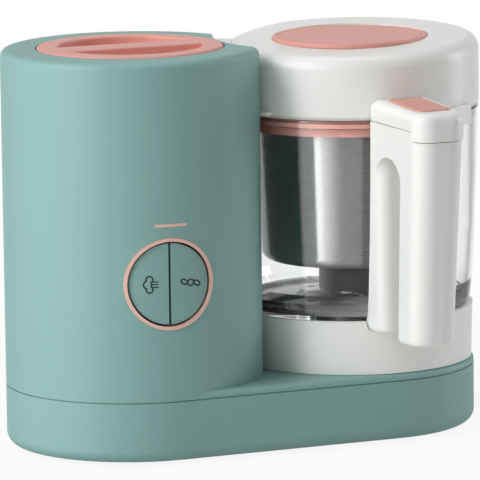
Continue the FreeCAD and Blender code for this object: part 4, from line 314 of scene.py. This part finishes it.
# %% [markdown]
# Moulded plastic is never quite even. The mould's fine spark texture gives the satin skin its grain, and the
# melt leaves faint clouds of lighter and darker colour. A picture could be laid on for both, but it would
# stretch round the drums and end in a seam. Two noise textures on Object coordinates have no seam and stay
# the same size on every piece. Many finishes share them, so they are built once as a node group with named
# sockets, and each material places the group with its own values.

# %% Moulded skin
CLOUD_SCALE = 14
CLOUD_DETAIL = 3
GRAIN_DETAIL = 2
GLOSS_SPECK = 0.12
GRAIN_HEIGHT = 0.1 * MM
SKIN_OUTPUTS = [
    ("Color", "NodeSocketColor"),
    ("Roughness", "NodeSocketFloat"),
    ("Normal", "NodeSocketVector"),
]


def new_group(name, sockets_in):
    """An empty shader node group with its named sockets, and its two end nodes."""
    group = bpy.data.node_groups.new(name, "ShaderNodeTree")
    for label, kind, value in sockets_in:
        socket = group.interface.new_socket(label, in_out="INPUT", socket_type=kind)
        socket.default_value = value
    for label, kind in SKIN_OUTPUTS:
        group.interface.new_socket(label, in_out="OUTPUT", socket_type=kind)
    return group, node(group, "NodeGroupInput"), node(group, "NodeGroupOutput")


def swung(group, texture, amount):
    """A noise that swings round nought by a share of the amount."""
    return maths(group, "MULTIPLY", maths(group, "SUBTRACT", texture.outputs["Fac"], 0.5), amount)


def shaded(group, start, end, share):
    """Makes the group's colour lighter and darker by a share."""
    bright = node(group, "ShaderNodeHueSaturation")
    wire(group, maths(group, "ADD", share, 1), bright.inputs["Value"])
    wire(group, start.outputs["Color"], bright.inputs["Color"])
    wire(group, bright.outputs["Color"], end.inputs["Color"])


def moulded_skin():
    """Cloudy colour, uneven gloss and spark grain of moulded plastic."""
    group, start, end = new_group("moulded_skin", [
        ("Color", "NodeSocketColor", (0.5, 0.5, 0.5, 1)),
        ("Cloud", "NodeSocketFloat", 0.04),
        ("Roughness", "NodeSocketFloat", 0.5),
        ("Grain Scale", "NodeSocketFloat", 1800),
        ("Grain Depth", "NodeSocketFloat", 0.15),
    ])
    where = node(group, "ShaderNodeTexCoord")
    cloud = node(group, "ShaderNodeTexNoise", {"Scale": CLOUD_SCALE, "Detail": CLOUD_DETAIL})
    grain = node(group, "ShaderNodeTexNoise", {"Detail": GRAIN_DETAIL})
    wire(group, where.outputs["Object"], cloud.inputs["Vector"])
    wire(group, where.outputs["Object"], grain.inputs["Vector"])
    wire(group, start.outputs["Grain Scale"], grain.inputs["Scale"])
    share = swung(group, cloud, start.outputs["Cloud"])
    shaded(group, start, end, share)
    uneven = maths(group, "ADD", swung(group, grain, GLOSS_SPECK), share)
    wire(group, maths(group, "ADD", start.outputs["Roughness"], uneven), end.inputs["Roughness"])
    bump = node(group, "ShaderNodeBump", {"Distance": GRAIN_HEIGHT})
    wire(group, start.outputs["Grain Depth"], bump.inputs["Strength"])
    wire(group, grain.outputs["Fac"], bump.inputs["Height"])
    wire(group, bump.outputs["Normal"], end.inputs["Normal"])
    return group


MOULDED_SKIN = moulded_skin()
print("group:", MOULDED_SKIN.name, "nodes:", len(MOULDED_SKIN.nodes))

# %% [markdown]
# The steel basket is polished with a belt while it turns, and the shafts and the heater plate come off a
# lathe. Both leave fine lines that run round an upright axis. A wave texture with rings could draw them, but
# it is too regular. Here the place on the surface is unrolled instead: the angle round the axis and the
# distance along the surface feed a noise that is squeezed very thin across the lines and left long along
# them, so each line starts and stops by chance.

# %% Turned lines
LINE_LENGTHS = 3
LINE_DETAIL = 4
LINE_DEPTH = 0.04
LINE_HEIGHT = 0.05 * MM


def unrolled(group, start):
    """The angle round an upright axis, and the distance across the lines, as one vector."""
    where = node(group, "ShaderNodeTexCoord")
    centred = node(group, "ShaderNodeVectorMath", operation="SUBTRACT")
    wire(group, where.outputs["Object"], centred.inputs[0])
    wire(group, start.outputs["Axis"], centred.inputs[1])
    split = node(group, "ShaderNodeSeparateXYZ")
    wire(group, centred.outputs["Vector"], split.inputs["Vector"])
    x, y, z = (split.outputs[label] for label in "XYZ")
    angle = maths(group, "ARCTAN2", y, x)
    squares = maths(group, "ADD", maths(group, "POWER", x, 2), maths(group, "POWER", y, 2))
    radius = maths(group, "SQRT", squares, 0)
    across = maths(group, "ADD", z, radius)
    rolled = node(group, "ShaderNodeCombineXYZ")
    wire(group, maths(group, "MULTIPLY", angle, LINE_LENGTHS), rolled.inputs["X"])
    wire(group, maths(group, "MULTIPLY", across, start.outputs["Line Density"]), rolled.inputs["Y"])
    return rolled.outputs["Vector"]


def turned_lines():
    """Fine lines that run round an upright axis, as a belt or a lathe tool leaves them."""
    group, start, end = new_group("turned_lines", [
        ("Axis", "NodeSocketVector", (0, 0, 0)),
        ("Color", "NodeSocketColor", (0.6, 0.6, 0.6, 1)),
        ("Contrast", "NodeSocketFloat", 0.2),
        ("Roughness", "NodeSocketFloat", 0.3),
        ("Line Density", "NodeSocketFloat", 2500),
    ])
    lines = node(group, "ShaderNodeTexNoise", {"Scale": 1, "Detail": LINE_DETAIL})
    wire(group, unrolled(group, start), lines.inputs["Vector"])
    share = swung(group, lines, start.outputs["Contrast"])
    shaded(group, start, end, share)
    wire(group, maths(group, "ADD", start.outputs["Roughness"], share), end.inputs["Roughness"])
    bump = node(group, "ShaderNodeBump", {"Strength": LINE_DEPTH, "Distance": LINE_HEIGHT})
    wire(group, lines.outputs["Fac"], bump.inputs["Height"])
    wire(group, bump.outputs["Normal"], end.inputs["Normal"])
    return group


TURNED_LINES = turned_lines()
print("group:", TURNED_LINES.name, "nodes:", len(TURNED_LINES.nodes))

# %% [markdown]
# Most of the machine is moulded plastic: satin green for the housing, satin pink for the caps, a glossier
# white for jar foot, handle and lid, and plain dark, rubber and silicone parts inside. They differ only in
# colour, gloss and grain, so one function places the moulded skin in a new material with those values.
# Colours are written as they look on a screen and turned into the linear light that the renderer adds up.


# %% Plastic finishes
def linear(red, green, blue):
    """A screen colour from 0 to 255 as linear light."""
    parts = []
    for value in (red, green, blue):
        share = value / 255
        parts.append(share / 12.92 if share <= 0.04045 else ((share + 0.055) / 1.055) ** 2.4)
    return (*parts, 1)


def finish_with(name, group, **values):
    """A material whose Principled shader takes colour, roughness and normal from a placed group."""
    made = bpy.data.materials.new(name)
    made.use_nodes = True
    tree = made.node_tree
    skin = node(tree, "ShaderNodeGroup", node_tree=group)
    for label, value in values.items():
        skin.inputs[label.replace("_", " ").title()].default_value = value
    shader = tree.nodes["Principled BSDF"]
    wire(tree, skin.outputs["Color"], shader.inputs["Base Color"])
    wire(tree, skin.outputs["Roughness"], shader.inputs["Roughness"])
    wire(tree, skin.outputs["Normal"], shader.inputs["Normal"])
    return made, shader


def plastic(name, colour, roughness, **skin):
    made, _ = finish_with(name, MOULDED_SKIN, color=colour, roughness=roughness, **skin)
    return made


FINISHES = {
    "housing_green": plastic("satin_green", linear(130, 169, 165), 0.5),
    "trim_pink": plastic("satin_pink", linear(222, 156, 144), 0.42),
    "body_white": plastic("gloss_white", linear(240, 240, 237), 0.34, grain_depth=0.05),
    "dark_plastic": plastic("dark_plastic", linear(33, 38, 40), 0.4),
    "black_rubber": plastic("black_rubber", linear(38, 38, 38), 0.75, cloud=0.1),
    "silicone": plastic("silicone", linear(216, 214, 208), 0.6),
    "bracket_metal": plastic("galvanised_bracket", linear(150, 152, 156), 0.45, cloud=0.2),
    "board": plastic("circuit_board", linear(34, 98, 60), 0.4),
}
print("moulded finishes:", sorted(FINISHES))

# %% [markdown]
# Brushed steel mirrors sharply along its lines and smears across them. Many tiny grooves would do that, but
# they would need far too many faces. The Principled shader has an anisotropic gloss for it, which needs to
# know the direction of the lines. A Tangent node set to radial round Z gives it, and a quarter turn puts the
# smear upright, as on a brushed pot. Aluminium, bronze and the motor's iron are turned less finely, so they
# get wider lines and a weaker smear.

# %% Metal finishes
QUARTER_TURN = 0.25


def turned_metal(name, colour, roughness, axis, anisotropy=0.4, **lines):
    """Metal with fine lines round an upright axis, and gloss that is drawn out across them."""
    made, shader = finish_with(
        name, TURNED_LINES, axis=axis, color=colour, roughness=roughness, **lines,
    )
    shader.inputs["Metallic"].default_value = 1
    shader.inputs["Anisotropic"].default_value = anisotropy
    shader.inputs["Anisotropic Rotation"].default_value = QUARTER_TURN
    round_axis = node(made.node_tree, "ShaderNodeTangent", direction_type="RADIAL", axis="Z")
    wire(made.node_tree, round_axis.outputs["Tangent"], shader.inputs["Tangent"])
    return made


FINISHES["steel"] = turned_metal(
    "brushed_steel", linear(182, 182, 180), 0.28, jar_axis,
    anisotropy=1, contrast=0.07, line_density=4200,
)
FINISHES["aluminium"] = turned_metal("cast_aluminium", linear(200, 201, 203), 0.4, tower_axis)
FINISHES["bronze"] = turned_metal("turned_bronze", linear(176, 136, 78), 0.35, jar_axis)
FINISHES["motor_iron"] = turned_metal("motor_iron", linear(120, 112, 104), 0.5, tower_axis)
print("finishes so far:", len(FINISHES))

# %% [markdown]
# The jar is clear soda glass. Full transmission with glass's own index of refraction bends what stands behind
# it, which draws the dark streaks at its edges. Glass alone would keep the lamps from what is inside, because
# light bent by glass only finds a lamp by chance. So for shadow rays the glass is swapped for a transparent
# shader, and the basket is lit as it would be in the open.

# %% Glass
GLASS_TINT = (0.985, 0.995, 0.992, 1)
GLASS_IOR = 1.5

glass = bpy.data.materials.new("jar_glass")
glass.use_nodes = True
tree = glass.node_tree
shader = tree.nodes["Principled BSDF"]
shader.inputs["Base Color"].default_value = GLASS_TINT
shader.inputs["Roughness"].default_value = 0
shader.inputs["IOR"].default_value = GLASS_IOR
shader.inputs["Transmission Weight"].default_value = 1
clear = node(tree, "ShaderNodeBsdfTransparent")
path = node(tree, "ShaderNodeLightPath").outputs
both = either(tree, path["Is Shadow Ray"], shader.outputs["BSDF"], clear.outputs["BSDF"])
wire(tree, both, tree.nodes["Material Output"].inputs["Surface"])
FINISHES["clear_glass"] = glass
print("glass nodes:", len(tree.nodes))

# %% [markdown]
# The ring round the buttons and the bar above it shine more than the pink caps do: they are lacquered in a
# rose tone with a little metal in it. That is the moulded skin again, with some metallic weight and a clear
# coat set on the shader. Then every piece of the frame gets the finish of its slot, except for these two.

# %% Rose lacquer, and a finish for every piece
ROSE_METAL = 0.25
ROSE_COAT = 0.4

rose_lacquer, shader = finish_with(
    "rose_lacquer", MOULDED_SKIN, color=linear(240, 196, 184), roughness=0.3, cloud=0.05, grain_depth=0.04,
)
shader.inputs["Metallic"].default_value = ROSE_METAL
shader.inputs["Coat Weight"].default_value = ROSE_COAT
OWN_FINISHES = {"button_ring": rose_lacquer, "accent_bar": rose_lacquer}
for part in frame["record"]["subparts"]:
    piece = nodes[part["node"]]
    piece.data.materials.clear()
    piece.data.materials.append(OWN_FINISHES.get(part["node"], FINISHES[part["material_slot"]]))

# %% [markdown]
# Each button carries a small printed sign: a cloud with jets for steam, and a hub with two blades for
# blending. They could be painted in the material, but then they would have no edge of their own and the
# mesh would not carry them. So each sign is drawn flat from strokes, in millimetres, and brought to the
# button later. The cloud is three discs that overlap. Given some depth they can be joined by a boolean, and
# of the joined block only the top face stays.

# %% Cloud of the steam sign
DISC_CORNERS = 40
STEAM_PUFFS = [(3.0, -2.0, 0), (2.6, -0.8, 3.2), (2.6, -0.8, -3.2)]
TOP_FACE = 0.9


def select_only(*pieces):
    bpy.ops.object.select_all(action="DESELECT")
    for piece in pieces:
        piece.select_set(True)
    bpy.context.view_layer.objects.active = pieces[0]


def edit_all(piece):
    """Opens one piece for editing with all of it selected."""
    select_only(piece)
    bpy.ops.object.mode_set(mode="EDIT")
    bpy.ops.mesh.select_all(action="SELECT")


def disc(radius, x, y, stretch=1, turn=0):
    """A flat filled disc, or an ellipse where it is stretched."""
    bpy.ops.object.select_all(action="DESELECT")
    bpy.ops.mesh.primitive_circle_add(
        vertices=DISC_CORNERS, radius=radius, fill_type="NGON", location=(x, y, 0),
    )
    made = bpy.context.object
    made.scale.x = stretch
    made.rotation_euler.z = radians(turn)
    bpy.ops.object.transform_apply(location=True, rotation=True, scale=True)
    return made


def fused(*discs):
    """One flat face in the outline of several discs that overlap."""
    for piece in discs:
        edit_all(piece)
        bpy.ops.mesh.extrude_region_move(TRANSFORM_OT_translate={"value": (0, 0, -1)})
        bpy.ops.mesh.select_all(action="SELECT")
        bpy.ops.mesh.normals_make_consistent(inside=False)
        bpy.ops.object.mode_set(mode="OBJECT")
    base, *others = discs
    select_only(base)
    for piece in others:
        join = base.modifiers.new("join", "BOOLEAN")
        join.operation = "UNION"
        join.object = piece
        bpy.ops.object.modifier_apply(modifier=join.name)
        bpy.data.objects.remove(piece)
    bpy.ops.object.mode_set(mode="EDIT")
    bpy.ops.mesh.select_all(action="DESELECT")
    bpy.ops.object.mode_set(mode="OBJECT")
    for face in base.data.polygons:
        face.select = face.normal.z < TOP_FACE
    bpy.ops.object.mode_set(mode="EDIT")
    bpy.ops.mesh.delete(type="FACE")
    bpy.ops.mesh.select_all(action="SELECT")
    bpy.ops.mesh.dissolve_limited(angle_limit=radians(1))
    bpy.ops.object.mode_set(mode="OBJECT")
    return base


cloud = fused(*[disc(*puff) for puff in STEAM_PUFFS])
print("cloud faces:", len(cloud.data.polygons), "corners:", len(cloud.data.vertices))

# %% [markdown]
# A sign is printed in lines, so the cloud's face becomes an outline: an inset draws an even border inside the
# face, and deleting the middle leaves only that border. The hub and the two blades are a disc and two leaning
# ellipses, treated in the same way. The jets are short bars whose corners are bevelled until the ends are
# round.

# %% Outlines and jets
SIGN_STROKE = 1.0
JET_STROKE = 0.8
JET_LENGTH = 4.0
JET_MIDDLE = 2.9
JET_ROWS = (-1.7, 0, 1.7)
JET_ROUNDING = 0.49
HUB_RADIUS = 2.5
BLADE_RADIUS = 1.9
BLADE_STRETCH = 1.5
BLADE_TURN = -28
BLADE_REACH = 4.3
BLADE_DROP = 0.7


def outlined(piece):
    """Leaves only an even stroke along the border of a flat face."""
    edit_all(piece)
    bpy.ops.mesh.inset(thickness=SIGN_STROKE, depth=0)
    bpy.ops.mesh.delete(type="FACE")
    bpy.ops.object.mode_set(mode="OBJECT")
    return piece


def jet(y):
    """A short level bar with round ends."""
    bpy.ops.object.select_all(action="DESELECT")
    bpy.ops.mesh.primitive_plane_add(size=1, location=(JET_MIDDLE, y, 0))
    made = bpy.context.object
    made.scale = (JET_LENGTH, JET_STROKE, 1)
    bpy.ops.object.transform_apply(location=True, rotation=True, scale=True)
    edit_all(made)
    bpy.ops.mesh.bevel(offset=JET_ROUNDING * JET_STROKE, segments=5, affect="VERTICES")
    bpy.ops.object.mode_set(mode="OBJECT")
    return made


def blade(side):
    """A leaning ellipse at one side of the hub, as an outline."""
    leaf = disc(BLADE_RADIUS, side * BLADE_REACH, -side * BLADE_DROP, BLADE_STRETCH, BLADE_TURN)
    return outlined(leaf)


steam_strokes = [outlined(cloud), *[jet(y) for y in JET_ROWS]]
blade_strokes = [outlined(disc(HUB_RADIUS, 0, 0)), blade(-1), blade(1)]
print("strokes:", len(steam_strokes), "and", len(blade_strokes))

# %% [markdown]
# The buttons bulge with the tower, so a flat sign would float at its sides. The sign is set up in front of
# the panel, and a shrinkwrap then presses each of its points straight back onto the button's face. A thin
# solidify gives the film of ink its thickness. The panel's place comes from the button ring: its box gives
# the middle, and the line from the tower's axis to that middle gives the direction the panel faces.

# %% Signs on the buttons
SIGN_FILM = 0.06 * MM
SIGN_STANDOFF = 10 * MM
STEAM_SIGN_OFFSET = -12.4 * MM
BLADE_SIGN_OFFSET = 13.8 * MM

ring_middle = middle("button_ring")
outward = Vector((ring_middle.x - tower_axis.x, ring_middle.y - tower_axis.y, 0)).normalized()
along = Vector((-outward.y, outward.x, 0))
panel = Matrix((along, Vector((0, 0, 1)), outward)).transposed().to_4x4()
sign_ink = plastic("sign_ink", linear(24, 44, 46), 0.5)


def printed(name, strokes, button, body, offset):
    """Joins flat strokes into one sign and lays it on a button's face."""
    select_only(*strokes)
    bpy.ops.object.join()
    sign = bpy.context.object
    sign.name = name
    place = ring_middle + along * offset + outward * SIGN_STANDOFF
    sign.matrix_world = Matrix.Translation(place) @ panel @ Matrix.Scale(MM, 4)
    bpy.ops.object.transform_apply(location=True, rotation=True, scale=True)
    lay = sign.modifiers.new("lay", "SHRINKWRAP")
    lay.target = nodes[button]
    lay.wrap_method = "PROJECT"
    lay.use_positive_direction = False
    lay.use_negative_direction = True
    film = sign.modifiers.new("film", "SOLIDIFY")
    film.thickness = SIGN_FILM
    film.offset = 1
    for step in (lay.name, film.name):
        bpy.ops.object.modifier_apply(modifier=step)
    sign.data.materials.clear()
    sign.data.materials.append(sign_ink)
    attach(sign, body)
    print(name, "faces:", len(sign.data.polygons), "size:", [round(x, 4) for x in sign.dimensions])


printed("steam_sign", steam_strokes, "steam_button", "steam_key", STEAM_SIGN_OFFSET)
printed("blade_sign", blade_strokes, "blend_button", "blend_key", BLADE_SIGN_OFFSET)

# %% [markdown]
# Under the thumb pad of the handle sits a small coil spring that lifts the pad again. It could be a curve
# with a round bevel, but a mesh is needed in the end, and a curve needs many points for a true helix. Here
# the wire is a circle that a screw modifier carries round the spring's axis while it climbs, with as many
# turns as are asked for. The two cut ends are filled, because wire is solid.

# %% Coil of the spring
SPRING_WIRE = 0.4 * MM
SPRING_TURNS = 2.5
WIRE_CORNERS = 16
COIL_STEPS = 120

spring_low, spring_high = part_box("latch_spring")
spring_height = spring_high.z - spring_low.z
coil_radius = (spring_high.x - spring_low.x) / 2 - SPRING_WIRE
bpy.ops.object.select_all(action="DESELECT")
bpy.ops.mesh.primitive_circle_add(
    vertices=WIRE_CORNERS, radius=SPRING_WIRE, rotation=(radians(90), 0, 0),
)
spring = bpy.context.object
spring.name = "pad_spring"
edit_all(spring)
bpy.ops.transform.translate(value=(coil_radius, 0, 0))
bpy.ops.object.mode_set(mode="OBJECT")
bpy.ops.object.transform_apply(location=True, rotation=True, scale=True)
coil = spring.modifiers.new("coil", "SCREW")
coil.angle = radians(360 * SPRING_TURNS)
coil.screw_offset = spring_height - 2 * SPRING_WIRE
coil.steps = coil.render_steps = COIL_STEPS
bpy.ops.object.modifier_apply(modifier=coil.name)
edit_all(spring)
bpy.ops.mesh.fill_holes(sides=0)
bpy.ops.mesh.select_all(action="SELECT")
bpy.ops.mesh.normals_make_consistent(inside=False)
bpy.ops.object.mode_set(mode="OBJECT")
bpy.ops.object.shade_smooth_by_angle(angle=radians(40))
print("spring faces:", len(spring.data.polygons), "size:", [round(x, 4) for x in spring.dimensions])

# %% [markdown]
# The spring goes where the model has its own, which is stiff and would be cut by the pad as it comes down. A
# real spring shortens; this one takes the place of the model's spring, which is hidden, with its foot on the
# handle, and it is fixed to the jar.

foot = Vector((*middle("latch_spring").xy, spring_low.z))
spring.location = foot + Vector((0, 0, SPRING_WIRE))
bpy.ops.object.transform_apply(location=True, rotation=True, scale=True)
spring.data.materials.append(FINISHES["steel"])
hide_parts("latch_spring")
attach(spring, "jar")
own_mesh(spring)
print("spring box in the frame:", [round(x, 4) for x in spring_high - spring_low])
